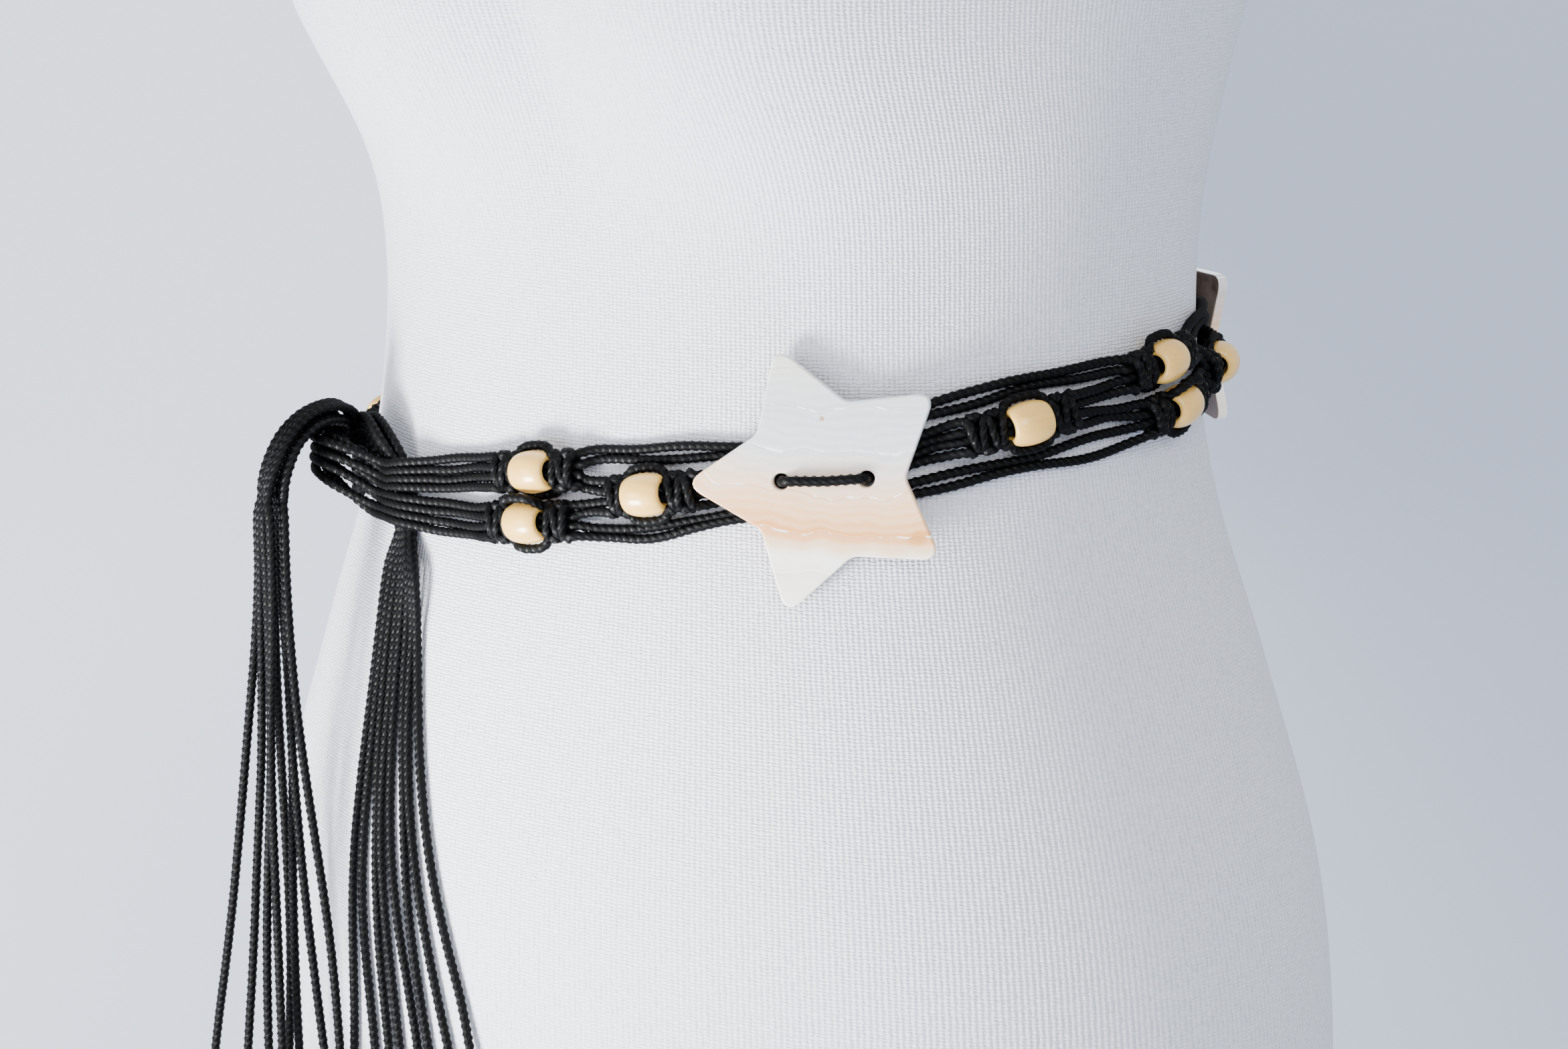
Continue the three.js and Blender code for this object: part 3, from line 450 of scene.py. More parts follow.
def half_knots(paths, start, count, v, side):
    """Adds half knots round two core cords. The outer cords cross the front and the back in turn."""
    front, back = (0, 3) if side > 0 else (3, 0)
    for k in range(count):
        c = start + (k + 0.5) * KNOT_PITCH
        uneven = KNOT_LEAN * sin(5.1 * c + 3 * v)
        for s, across, out in FRONT_CROSSING:
            lean = uneven if across == 0 else 0
            paths[front].append((c + s + lean, v + side * across, KNOT_HEIGHT + out))
        for s, across, out in BACK_CROSSING:
            paths[back].append((c + s, v + side * across, KNOT_HEIGHT + out))
        paths[front], paths[back] = paths[back], paths[front]
        side = -side
        front, back = back, front
    return side


def sinnet(paths, s, v, knots, inner=None):
    """Adds the knots before a bead, the way through and round it, and the knots after it"""
    half = BEAD["length"] / 2
    before = s - half - GAP - knots[0] * KNOT_PITCH
    after = s + half + GAP
    # The core rises to the bead from just outside it
    near, near_height = half + 1.5, KNOT_HEIGHT + 0.2
    for core, offset in ((1, CORD / 2), (2, -CORD / 2)):
        paths[core] += [
            (before, v + offset, KNOT_HEIGHT), (s - near, v + offset, near_height),
            (s - half * 0.5, v + offset, BEAD["height"]), (s + half * 0.5, v + offset, BEAD["height"]),
            (s + near, v + offset, near_height),
            (after + knots[1] * KNOT_PITCH, v + offset, KNOT_HEIGHT)]
    side = half_knots(paths, before, knots[0], v, 1)
    for row, side_of_bead in ((0, 1), (3, -1)):
        wide, high = BEAD_SIDE["wide"], KNOT_HEIGHT
        if inner and inner[0] == side_of_bead:
            wide, high = inner[1], inner[2]
        narrow = v + side_of_bead * (wide - BEAD_SIDE["tuck"])
        end = half * BEAD_SIDE["end"]
        paths[row] += [
            (s - end, narrow, high), (s, v + side_of_bead * wide, high), (s + end, narrow, high)]
    half_knots(paths, after, knots[1], v, side)


def pair_sinnets(cords, base, shift):
    """Knots the upper four cords and the lower four, each round a bead"""
    upper, lower = cords[:4], cords[4:]
    behind = (-1, PAIR_OFFSET - BETWEEN_BEADS["aside"], BETWEEN_BEADS["behind"])
    front = (1, PAIR_OFFSET + BETWEEN_BEADS["aside"], BETWEEN_BEADS["front"])
    sinnet(upper, base + shift[0], PAIR_OFFSET, PAIR_KNOTS, behind)
    sinnet(lower, base + shift[1], -PAIR_OFFSET, PAIR_KNOTS, front)
    cords[:4], cords[4:] = upper, lower


def middle_sinnet(cords, base, place, shift, knots):
    """Knots the middle four cords round a bead"""
    middle = cords[2:6]
    sinnet(middle, base + place[0] + shift[0], place[1] + shift[1], knots)
    cords[2:6] = middle


def edge_run(cords, rows, base):
    """Leads the two cords at each edge past a middle sinnet"""
    for s, n, *places in rows:
        for cord, v in zip(cords[:2] + cords[6:], places):
            cord.append((base + s, v, n))


def grouped_run(cords, rows, base):
    """Leads cords side by side as an upper and a lower group"""
    size = len(cords) // 2
    for s, n, upper, lower, spacing in rows:
        for k, cord in enumerate(cords):
            middle = upper if k < size else lower
            cord.append((base + s, middle + ((size - 1) / 2 - k % size) * spacing, n))


def stretch_routes(stretch):
    """The eight cords of one stretch, from one star or the tie to the next"""
    cords = [[] for _ in range(8)]
    base = stretch * REPEAT
    if stretch > 0:
        edge_run(cords, EDGE_FROM_STAR, base - REPEAT)
        grouped_run(cords[2:6], STAR_TO_MIDDLE, base - REPEAT)
        shift = MIDDLE_SHIFTS[stretch - 1][1]
        middle_sinnet(cords, base - REPEAT, SECOND_MIDDLE, shift, SECOND_MIDDLE_KNOTS)
        grouped_run(cords[2:6], MIDDLE_TO_PAIR, base - REPEAT)
    else:
        grouped_run(cords, FRONT_RUN, base)
    pair_sinnets(cords, base, PAIR_SHIFTS[stretch])
    if stretch < STAR_COUNT:
        edge_run(cords, EDGE_TO_STAR, base)
        grouped_run(cords[2:6], PAIR_TO_MIDDLE, base)
        middle_sinnet(cords, base, FIRST_MIDDLE, MIDDLE_SHIFTS[stretch][0], FIRST_MIDDLE_KNOTS)
        grouped_run(cords[2:6], MIDDLE_TO_STAR, base)
    else:
        grouped_run(cords, BACK_RUN, base)
    return cords


def bundle_controls(rows, lead):
    """The eight cords of a bundle, led in by the points that they come from"""
    centres = [tie_place(*row[:3]) for row in rows]
    before = np.mean([points[-1] for points in lead], axis=0)
    cords = [list(points) for points in lead]
    for i, (_, _, _, half_width, half_thick, lean) in enumerate(rows):
        behind = centres[i - 1] if i else before
        ahead = centres[min(i + 1, len(rows) - 1)]
        forward = unit(ahead - behind)
        across = TIE_ALONG * cos(radians(lean)) + TIE_UP * sin(radians(lean))
        thick = unit(np.cross(across, forward))
        wide = unit(np.cross(forward, thick))
        # A bundle one cord thick is a row of eight, and from a half thickness of 2.6 it is two of four
        folded = min(1.0, max(0.0, (half_thick - 1.2) / 1.4))
        for k in range(8):
            flat = (k - 3.5) / 4 * half_width
            paired = (k // 2 - 1.5) / 2 * half_width
            row_offset = 0.62 * (half_thick - CORD / 2) + 0.5
            u = flat + (paired - flat) * folded + TIE_UNEVEN["wide"] * sin(2.1 * k + 0.9 * i)
            t = (1 if k % 2 else -1) * folded * row_offset + TIE_UNEVEN["thick"] * sin(1.7 * k + 1.3 * i)
            cords[k].append(clear_of_form(centres[i] + wide * u + thick * t, TIE_CLEARANCE))
    return cords


def tie_routes():
    """The eight cords of the tie's front bundle and of its back bundle"""
    bundles = []
    for rows, lead, side in ((FRONT_BUNDLE, FRONT_LEAD, 1), (BACK_BUNDLE, BACK_LEAD, -1)):
        led = []
        for k in range(8):
            offset = side * ((TIE_GROUP if k < 4 else -TIE_GROUP) + (1.5 - k % 4) * TIE_SPACING)
            led.append([belt_point(s, offset * share, n) for s, n, share in lead])
        bundles.append(bundle_controls(rows, led))
    return bundles


def fringe_controls(strands, top, sway):
    """Strands hang together from a root, spread on the way down and stay clear of the hip"""
    routes = []
    for index, (along, out, end_along, end_out, end) in enumerate(strands):
        top_z = tie_place(along, out, top)[2]
        points = []
        for step in range(FRINGE_STEPS + 1):
            fall = step / FRINGE_STEPS * (top_z - end)
            depth = min(1.0, fall / (top_z - SPREAD_HEIGHT))
            drift = depth * depth * (3 - 2 * depth)
            # Slow waves, out of step from strand to strand
            sway_here = sway * min(1.0, fall / SWAY_GROWS)
            aside = sway_here * sin(2.6 * index + fall / 37 + 0.8 * sin(fall / 23 + 1.9 * index))
            forth = SWAY_FORTH * sway_here * sin(1.9 * index + fall / 31)
            place = tie_place(along + (end_along - along) * drift + aside,
                              out + (end_out - out) * drift + forth, top - fall)
            beside = np.array([place[0], place[1], max(place[2], HIP_HEIGHT)])
            push = clear_of_form(beside, FRINGE_CLEARANCE) - beside
            points.append(place + [push[0], push[1], 0])
        routes.append(points)
    return routes


# Materials

def linear(hex_colour):
    """An sRGB hex colour as the linear values that shaders take"""
    values = [int(hex_colour[i:i + 2], 16) / 255 for i in (1, 3, 5)]
    return [c / 12.92 if c <= 0.04045 else ((c + 0.055) / 1.055) ** 2.4 for c in values] + [1.0]


def add_node(tree, kind, inputs=(), **settings):
    """A shader node with its settings. Its inputs are named, or in order from the first.

    An input is a value, an output socket, or a node that feeds it from its first output in use.
    """
    node = tree.nodes.new(f"ShaderNode{kind}")
    for name, value in settings.items():
        setattr(node, name, value)
    named = inputs if isinstance(inputs, dict) else dict(enumerate(inputs))
    for key, value in named.items():
        if isinstance(value, bpy.types.Node):
            value = next(output for output in value.outputs if output.enabled)
        if isinstance(value, bpy.types.NodeSocket):
            tree.links.new(value, node.inputs[key])
        else:
            node.inputs[key].default_value = value
    return node


def new_material(name):
    """An empty material, and what adds a node to it"""
    material = bpy.data.materials.new(name)
    material.use_nodes = True
    material.node_tree.nodes.clear()
    return material, partial(add_node, material.node_tree)


def finish_material(add, colour, tones, roughness, bump, **extras):
    """Lays tones over a colour, each by its own share, and adds the surface in that colour.

    A surface that glows does so in the same colour.
    """
    for share, tone in tones:
        layers = {"Factor": share, "A": colour, "B": linear(tone)}
        colour = add("Mix", layers, data_type="RGBA")
    inputs = {"Base Color": colour, "Roughness": roughness}
    inputs.update({key.replace("_", " "): value for key, value in extras.items()})
    if bump is not None:
        inputs["Normal"] = bump
    if "Emission Strength" in inputs:
        inputs["Emission Color"] = colour
    add("OutputMaterial", {"Surface": add("BsdfPrincipled", inputs)})


def jersey_material(settings):
    """Rib-knit cotton jersey: matt, with soft vertical ribs, painted shade in the grooves between them,
    and a dimple for each stitch
    """
    material, add = new_material("rib_knit_jersey")
    uv = add("UVMap", uv_map="cover")
    place = add("TexCoord").outputs["Object"]
    # One rib to a unit of u, and one stitch to a unit of v
    ribs, stitches = (
        add("TexWave", {
            "Vector": uv, "Scale": ONE_WAVE, "Distortion": distortion, "Detail": 2.0,
            "Detail Scale": detail}, bands_direction=way).outputs["Fac"]
        for way, distortion, detail in (("X", 0.7, 1.5), ("Y", 4.0, 2.2)))
    loose = add("Mapping", {"Vector": uv, "Scale": (0.55, 0.11, 1.0)})
    yarn = add("TexNoise", {"Vector": loose, "Scale": 2.4, "Detail": 2.0})
    loops = add("TexNoise", {"Vector": uv, "Scale": 1.7, "Detail": 1.0})
    # Painted shade: dark broken lines in the grooves between the ribs
    shaded_groove = add("MapRange", (ribs, 0.0, 0.3, 1.0, 0.0))
    broken = add("MapRange", (yarn, 0.42, 0.66, 0.0, 1.0))
    shaded_groove = add("Math", (shaded_groove, broken), operation="MULTIPLY")
    dark = add("Math", (shaded_groove, 0.5), operation="MULTIPLY")
    relief = add("Math", (stitches, loops), operation="MULTIPLY")
    relief = add("Math", (ribs, 0.5, relief), operation="MULTIPLY_ADD")
    bump = add("Bump", {"Height": relief, "Strength": 0.75, "Distance": 0.0005})
    # Slow unevenness of the yarn's tone, over about 70 mm
    shade = add("TexNoise", {"Vector": place, "Scale": 14.0, "Detail": 3.0})
    shade = add("MapRange", (shade, 0.3, 0.7, 0.0, 0.1))
    # Few dark specks of lint, under a millimetre across
    cells = add("TexVoronoi", {"Vector": place, "Scale": 38.0, "Randomness": 1.0})
    speck = add("Math", (cells.outputs["Distance"], 0.018), operation="LESS_THAN")
    rare = add("SeparateColor", (cells.outputs["Color"],))
    rare = add("Math", (rare, 0.1), operation="LESS_THAN")
    lint = add("Math", (speck, rare), operation="MULTIPLY")
    # The dark tone is the painted shade in the grooves; the others are the yarn's uneven tone and specks
    # of lint
    tones = ((shade, "#cfc9bf"), (dark, "#8e9096"), (lint, "#4a4a4c"))
    finish_material(add, linear(settings.colour), tones, 0.92, bump,
                    Sheen_Weight=0.25, Sheen_Roughness=0.5)
    return material


def cord_material(settings):
    """Waxed cotton cord: black, with painted shade between its three strands, and a small shine on each
    """
    material, add = new_material("waxed_cotton_cord")
    uv = add("UVMap", uv_map="UVMap")
    place = add("TexCoord").outputs["Object"]
    # The mesh turns with the lay, so three waves round a cord are its three strands
    shaded_groove = add("TexWave", {"Vector": uv, "Scale": 3 * ONE_WAVE}, bands_direction="Y").outputs["Fac"]
    # Fibres are about 0.15 mm, drawn at 0.4 mm so that they show
    fibre = add("TexNoise", {"Vector": place, "Scale": 2500.0, "Detail": 2.0})
    wax = add("TexNoise", {"Vector": place, "Scale": 260.0, "Detail": 2.0})
    roughness = add("Math", (shaded_groove, 0.4, 0.3), operation="MULTIPLY_ADD")
    height = add("Math", (shaded_groove, -1.0, 0.0), operation="MULTIPLY_ADD")
    height = add("Math", (fibre, 0.25, height), operation="MULTIPLY_ADD")
    bump = add("Bump", {"Height": height, "Strength": 0.8, "Distance": 0.0005})
    # The groove's tone is painted shade between the strands; the wax's is an uneven tone of the cord
    tones = ((wax, "#101112"), (shaded_groove, "#020202"))
    finish_material(add, linear(settings.colour), tones, roughness, bump, Specular_IOR_Level=0.13)
    return material


def wood_material(settings):
    """Turned pale wood under clear lacquer: faint grain, two soft lights on each bead"""
    material, add = new_material("lacquered_wood")
    place = add("TexCoord").outputs["Object"]
    # Streaks about 0.8 mm high and 5.6 mm long
    stretched = add("Mapping", {"Vector": place, "Scale": (60.0, 60.0, 420.0)})
    grain = add("TexNoise", {"Vector": stretched, "Scale": 3.0, "Detail": 4.0})
    grain = add("MapRange", (grain, 0.4, 0.72, 0.0, 0.4))
    bump = add("Bump", {"Height": grain, "Strength": 0.12, "Distance": 0.0002})
    finish_material(add, linear(settings.colour), [(grain, settings.grain)], 0.42, bump,
                    Coat_Weight=0.7, Coat_Roughness=0.16, Subsurface_Weight=0.08,
                    Subsurface_Scale=0.002)
    return material


def shell_material(name, settings, shift):
    """Polished shell: pearly grey-white, a peach band and cream below, with arched growth lines"""
    material, add = new_material(name)
    uv = add("UVMap", uv_map="face")
    moved = add("Mapping", {"Vector": uv, "Location": (shift, 0.4 * shift, shift)})
    x, y = add("SeparateXYZ", (uv,)).outputs[:2]
    drift = add("TexNoise", {"Vector": moved, "Scale": 0.9, "Detail": 1.5})
    bend = add("Math", (x, x), operation="MULTIPLY")
    # Growth lines arch over the star. level is y with a slope, a bend and about 0.35 from the noise,
    # in units of 10 mm: pearl above 1.1, peach at -1.1 and cream below -1.7
    level = y
    for part, share in ((x, 0.22), (bend, -0.03), (drift, 0.7)):
        level = add("Math", (part, share, level), operation="MULTIPLY_ADD")
    ramp = add("MapRange", (level, -3.2, 3.2, 0.0, 1.0))
    bands = add("ValToRGB", (ramp,))
    stops = (
        (0.00, settings.cream), (0.16, "#f3e8d8"), (0.235, settings.cream), (0.285, "#f0cd9f"),
        (0.33, settings.peach), (0.42, "#edbb84"), (0.50, "#ebc39c"), (0.60, "#d8cbbe"),
        (0.68, settings.pearl), (0.84, "#c0c7cb"), (1.00, "#d4d1c6"))
    ramp_stops = bands.color_ramp.elements
    while len(ramp_stops) < len(stops):
        ramp_stops.new(0.5)
    for stop, (position, tone) in zip(ramp_stops, stops):
        stop.position, stop.color = position, linear(tone)
    fine = add("TexNoise", {"Vector": moved, "Scale": 2.2, "Detail": 5.0})
    lines_at = add("CombineXYZ", (level,))
    # Broad growth lines as a pale veil, and thin ones for the cracks
    veil, whole = (
        add("TexWave", {
            "Vector": lines_at, "Scale": scale, "Distortion": distortion, "Detail": 2.0,
            "Detail Scale": detail}).outputs["Fac"]
        for scale, distortion, detail in ((1.3, 0.8, 0.6), (0.3, 1.0, 0.8)))
    veil = add("MapRange", (veil, 0.0, 1.0, 0.0, 0.14))
    # Ochre stain near the lower right tip
    stain = add("VectorMath", (uv, (-2.15, 1.75, 0.0)), operation="ADD")
    stain = add("Mapping", {"Vector": stain, "Rotation": (0, 0, -0.35), "Scale": (1.0, 3.6, 1.0)})
    stain = add("VectorMath", (stain,), operation="LENGTH")
    stain = add("Math", (fine, 1.3, stain), operation="MULTIPLY_ADD")
    stain = add("MapRange", (stain, 0.75, 1.35, 0.75, 0.0))
    # One ochre pinprick above the lacing
    prick = add("VectorMath", (uv, (0.2, 1.5, 0.0)), operation="DISTANCE")
    prick = add("MapRange", (prick, 0.03, 0.08, 0.85, 0.0))
    # Hairline cracks along the growth lines, with painted white glints along them
    whole = add("MapRange", (whole, 0.0, 0.012, 0.0, 1.0))
    crack = add("Math", (1.0, whole), operation="SUBTRACT")
    painted_glint = add("MapRange", (fine, 0.5, 0.6, 0.0, 1.0))
    painted_glint = add("Math", (painted_glint, crack), operation="MULTIPLY")
    waves = add("Math", (fine, 1.6, whole), operation="MULTIPLY_ADD")
    bump = add("Bump", {"Height": waves, "Strength": 0.25, "Distance": 0.0004})
    # Painted light: the shell glows a little in its own colours, which brightens the whole star
    tones = ((veil, "#fbf8f4"), (stain, "#c98a3a"), (prick, "#a9743a"), (painted_glint, "#ffffff"))
    finish_material(add, bands, tones, 0.3, bump, Coat_Weight=0.6, Coat_Roughness=0.06,
                    Emission_Strength=0.25)
    return material


def shell_back_material(settings):
    """The shell's outer skin: brown at one tip, mauve-grey below, less polished"""
    material, add = new_material("shell_back")
    uv = add("UVMap", uv_map="face")
    y = add("SeparateXYZ", (uv,)).outputs[1]
    drift = add("TexNoise", {"Vector": uv, "Scale": 1.6, "Detail": 4.0})
    level = add("Math", (drift, 1.6, y), operation="MULTIPLY_ADD")
    dark = add("MapRange", (level, 1.7, 2.4, 0.0, 1.0))
    bump = add("Bump", {"Height": drift, "Strength": 0.2, "Distance": 0.0004})
    tones = ((drift, "#a3938a"), (dark, "#4a3325"))
    finish_material(add, linear(settings.back), tones, 0.4, bump, Coat_Weight=0.3, Coat_Roughness=0.2)
    return material


def floor_material(settings):
    """Matt paper sweep that glows a little: pale at the form's right hand, with painted shade that makes
    it greyer at its left
    """
    material, add = new_material("paper_sweep")
    place = add("TexCoord").outputs["Object"]
    turned = add("Mapping", {"Vector": place, "Rotation": (0, 0, -radians(CAMERA["azimuth"]))})
    across = add("SeparateXYZ", (turned,))
    # Painted shade: the floor turns greyer towards the form's left
    share = add("MapRange", (across, -0.6, 0.6, 0.0, 1.0), interpolation_type="SMOOTHSTEP")
    finish_material(add, linear(settings.floor), [(share, "#98a1b4")], 0.95, None,
                    Specular_IOR_Level=0.1, Emission_Strength=1.1)
    return material


# Pieces

def add_object(name, data):
    """Puts data into the scene as an object"""
    made = bpy.data.objects.new(name, data)
    bpy.context.scene.collection.objects.link(made)
    return made


def finished_mesh(name, model):
    """The mesh of a bmesh model, which is freed"""
    mesh = bpy.data.meshes.new(name)
    model.to_mesh(mesh)
    model.free()
    return mesh


def curve_mesh(name, data):
    """The mesh that a curve makes"""
    curve = add_object(name, data)
    depsgraph = bpy.context.evaluated_depsgraph_get()
    mesh = bpy.data.meshes.new_from_object(curve.evaluated_get(depsgraph))
    bpy.data.objects.remove(curve)
    return mesh


def add_piece(name, mesh, materials, nodes):
    """Links a finished mesh as a piece that stands for its CAD nodes"""
    piece = add_object(name, mesh)
    for material in materials:
        mesh.materials.append(material)
    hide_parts(*nodes)
    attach(piece, "root")
    return piece


def strand_profile(diameter):
    """The section of a cord of three strands"""
    data = bpy.data.curves.new("strand_profile", "CURVE")
    spline = data.splines.new("POLY")
    count = 3 * len(STRAND_REACHES)
    spline.points.add(count - 1)
    for i, point in enumerate(spline.points):
        angle = 2 * pi * i / count
        reach = STRAND_REACHES[i % 3] * diameter / 2 * MM
        point.co = (reach * cos(angle), reach * sin(angle), 0, 1)
    spline.use_cyclic_u = True
    return add_object("strand_profile", data)


def rope_mesh(name, routes, diameter, lay):
    """Twisted cords along routes, as one mesh"""
    profile = strand_profile(diameter)
    data = bpy.data.curves.new(name, "CURVE")
    data.dimensions = "3D"
    data.bevel_mode = "OBJECT"
    data.bevel_object = profile
    data.use_fill_caps = True
    for route in routes:
        spline = data.splines.new("POLY")
        spline.points.add(len(route) - 1)
        for point, place, length in zip(spline.points, route, distances(route)):
            point.co = (*(place * MM), 1)
            point.tilt = 2 * pi * length / lay
    mesh = curve_mesh(name, data)
    mesh.name = name
    bpy.data.objects.remove(profile)
    if not mesh.polygons:
        raise RuntimeError(f"{name} has no faces")
    mesh.shade_smooth()
    return mesh


def rope_piece(name, routes, node, diameter=CORD):
    """Adds twisted cords as the piece that stands for a node"""
    settings = bpy.context.scene.belt_cord
    material = bpy.data.materials.get("waxed_cotton_cord") or cord_material(settings)
    mesh = rope_mesh(name, routes, diameter * settings.fullness, settings.lay * diameter / CORD)
    return add_piece(name, mesh, [material], [node])


class BELT_OT_dress_form(bpy.types.Operator):
    """Adds the dress form in its rib-knit cover"""
    bl_idname = "belt.dress_form"
    bl_label = "Dress form"

    def execute(self, context):
        settings = context.scene.belt_form
        # Rows of the form as height and inset. None closes an end at the middle.
        top = FORM_ROWS[-1, 0]
        arc = [radians(a) for a in (0, 30, 60)]
        rows = [(0.0, None)]
        rows += [(FORM_EDGE * (1 - cos(a)), FORM_EDGE * (1 - sin(a))) for a in arc]
        rows += [(z, 0.0) for z in np.linspace(FORM_EDGE, top - FORM_EDGE, settings.rows)]
        rows += [(top - FORM_EDGE * (1 - cos(a)), FORM_EDGE * (1 - sin(a))) for a in reversed(arc)]
        rows += [(top, None)]
        columns = settings.segments
        model = bmesh.new()
        bmesh.ops.create_grid(model, x_segments=columns, y_segments=len(rows) - 1, size=0.5)
        cover = model.loops.layers.uv.new("cover")
        angles = np.linspace(0.5, 2.5, columns + 1) * pi
        rings, lengths = [], []
        for z, inset in rows:
            ring = form_point(angles, z)
            front = ring[:, 1] < 0
            reach = np.hypot(np.abs(ring[:, 0]) - BUST["x"], z - BUST["z"]) / BUST["radius"]
            ring[front, 1] -= BUST["depth"] * np.exp(-reach[front] ** BUST["sharpness"])
            if inset is None:
                ring[:, :2] = 0
            else:
                ring[:, :2] -= unit(ring[:, :2]) * inset
            steps = distances(ring)
            rings.append(ring)
            lengths.append(steps / steps[-1] if steps[-1] > 0 else np.linspace(0, 1, columns + 1))
        for vert in model.verts:
            column = round((vert.co.x + 0.5) * columns)
            row = round((vert.co.y + 0.5) * (len(rows) - 1))
            vert.co = Vector(rings[row][column] * MM)
            for loop in vert.link_loops:
                loop[cover].uv = (lengths[row][column] * settings.ribs, rows[row][0] / STITCH)
        bmesh.ops.remove_doubles(model, verts=model.verts, dist=SAME_PLACE)
        bmesh.ops.recalc_face_normals(model, faces=model.faces)
        mesh = finished_mesh("covered_form", model)
        mesh.shade_smooth()
        add_piece("covered_form", mesh, [jersey_material(settings)], ["dress_form"])
        return {"FINISHED"}


class BELT_OT_band_cords(bpy.types.Operator):
    """Adds the knotted cords of the four stretches of the band"""
    bl_idname = "belt.band_cords"
    bl_label = "Band cords"

    def execute(self, context):
        step = context.scene.belt_cord.step
        for stretch in range(STAR_COUNT + 1):
            routes = [belt_route(cord, step, k) for k, cord in enumerate(stretch_routes(stretch))]
            rope_piece(f"band_cords_{stretch + 1}", routes, f"band_stretch_{stretch + 1}")
        return {"FINISHED"}


class BELT_OT_tie_and_fringe(bpy.types.Operator):
    """Adds the cords of the tie and of the two bundles of fringe"""
    bl_idname = "belt.tie_and_fringe"
    bl_label = "Tie and fringe"

    def execute(self, context):
        step = context.scene.belt_cord.step
        front, back = tie_routes()
        rope_piece("tie_cords", [cord_route(cord, step) for cord in front + back], "tie_knot")
        strands = fringe_controls(BACK_FRINGE, BACK_FRINGE_TOP, BACK_FRINGE_SWAY)
        routes = []
        for k, cord in enumerate(front):
            strand = strands[3 - k // 2 + (0 if k % 2 else 4)]
            routes.append(cord_route([*cord[-2:], *strand], step))
        rope_piece("fringe_cords_back", routes, "fringe_back")
        strands = fringe_controls(FRONT_FRINGE, FRONT_FRINGE_TOP, FRONT_FRINGE_SWAY)
        routes = [cord_route([*cord[-2:], *strand], step) for cord, strand in zip(back, strands)]
        rope_piece("fringe_cords_front", routes, "fringe_front")
        return {"FINISHED"}


class BELT_OT_beads(bpy.types.Operator):
    """Adds the turned wooden beads"""
    bl_idname = "belt.beads"
    bl_label = "Beads"

    def bead(self, name, node, s, v, material, segments):
        half, bore = BEAD["length"] / 2, BEAD["bore"] / 2
        end, swell = BEAD["end"] / 2, (BEAD["diameter"] - BEAD["end"]) / 2
        # From the rounded mouth of the bore over the outside, then the same mouth at the other end
        profile = [(-half + 0.35, bore), (-half + 0.1, bore + 0.12), (-half, bore + 0.4),
                   (-half, end - 0.12)]
        for angle in np.linspace(0.03, 0.97, 15) * pi:
            share = -cos(angle)
            profile.append((share * half, end + swell * sqrt(1 - share**2)))
        profile += [(-x, r) for x, r in profile[3::-1]]
        model = bmesh.new()
        ring = [model.verts.new((x * MM, 0, r * MM)) for x, r in profile]
        edges = [model.edges.new((a, b)) for a, b in zip(ring, ring[1:] + ring[:1])]
        bmesh.ops.spin(
            model, geom=ring + edges, cent=(0, 0, 0), axis=(1, 0, 0), angle=2 * pi,
            steps=segments, use_merge=True)
        bmesh.ops.remove_doubles(model, verts=model.verts, dist=SAME_PLACE)
        bmesh.ops.recalc_face_normals(model, faces=model.faces)
        bmesh.ops.transform(model, matrix=belt_matrix(s, v, BEAD["height"]), verts=model.verts)
        mesh = finished_mesh(name, model)
        mesh.shade_smooth()
        add_piece(name, mesh, [material], [node])

    def execute(self, context):
        settings = context.scene.belt_bead
        material = wood_material(settings)
        for pair, shifts in enumerate(PAIR_SHIFTS):
            for row, side, shift in zip(("upper", "lower"), (1, -1), shifts):
                self.bead(f"turned_bead_{pair + 1}_{row}", f"pair_bead_{pair + 1}_{row}",
                          pair * REPEAT + shift, side * PAIR_OFFSET, material, settings.segments)
        for star, shifts in enumerate(MIDDLE_SHIFTS):
            for k, (s, v) in enumerate((FIRST_MIDDLE, SECOND_MIDDLE)):
                index = 2 * star + k + 1
                self.bead(f"turned_bead_middle_{index}", f"middle_bead_{index}",
                          star * REPEAT + s + shifts[k][0], v + shifts[k][1], material,
                          settings.segments)
        return {"FINISHED"}


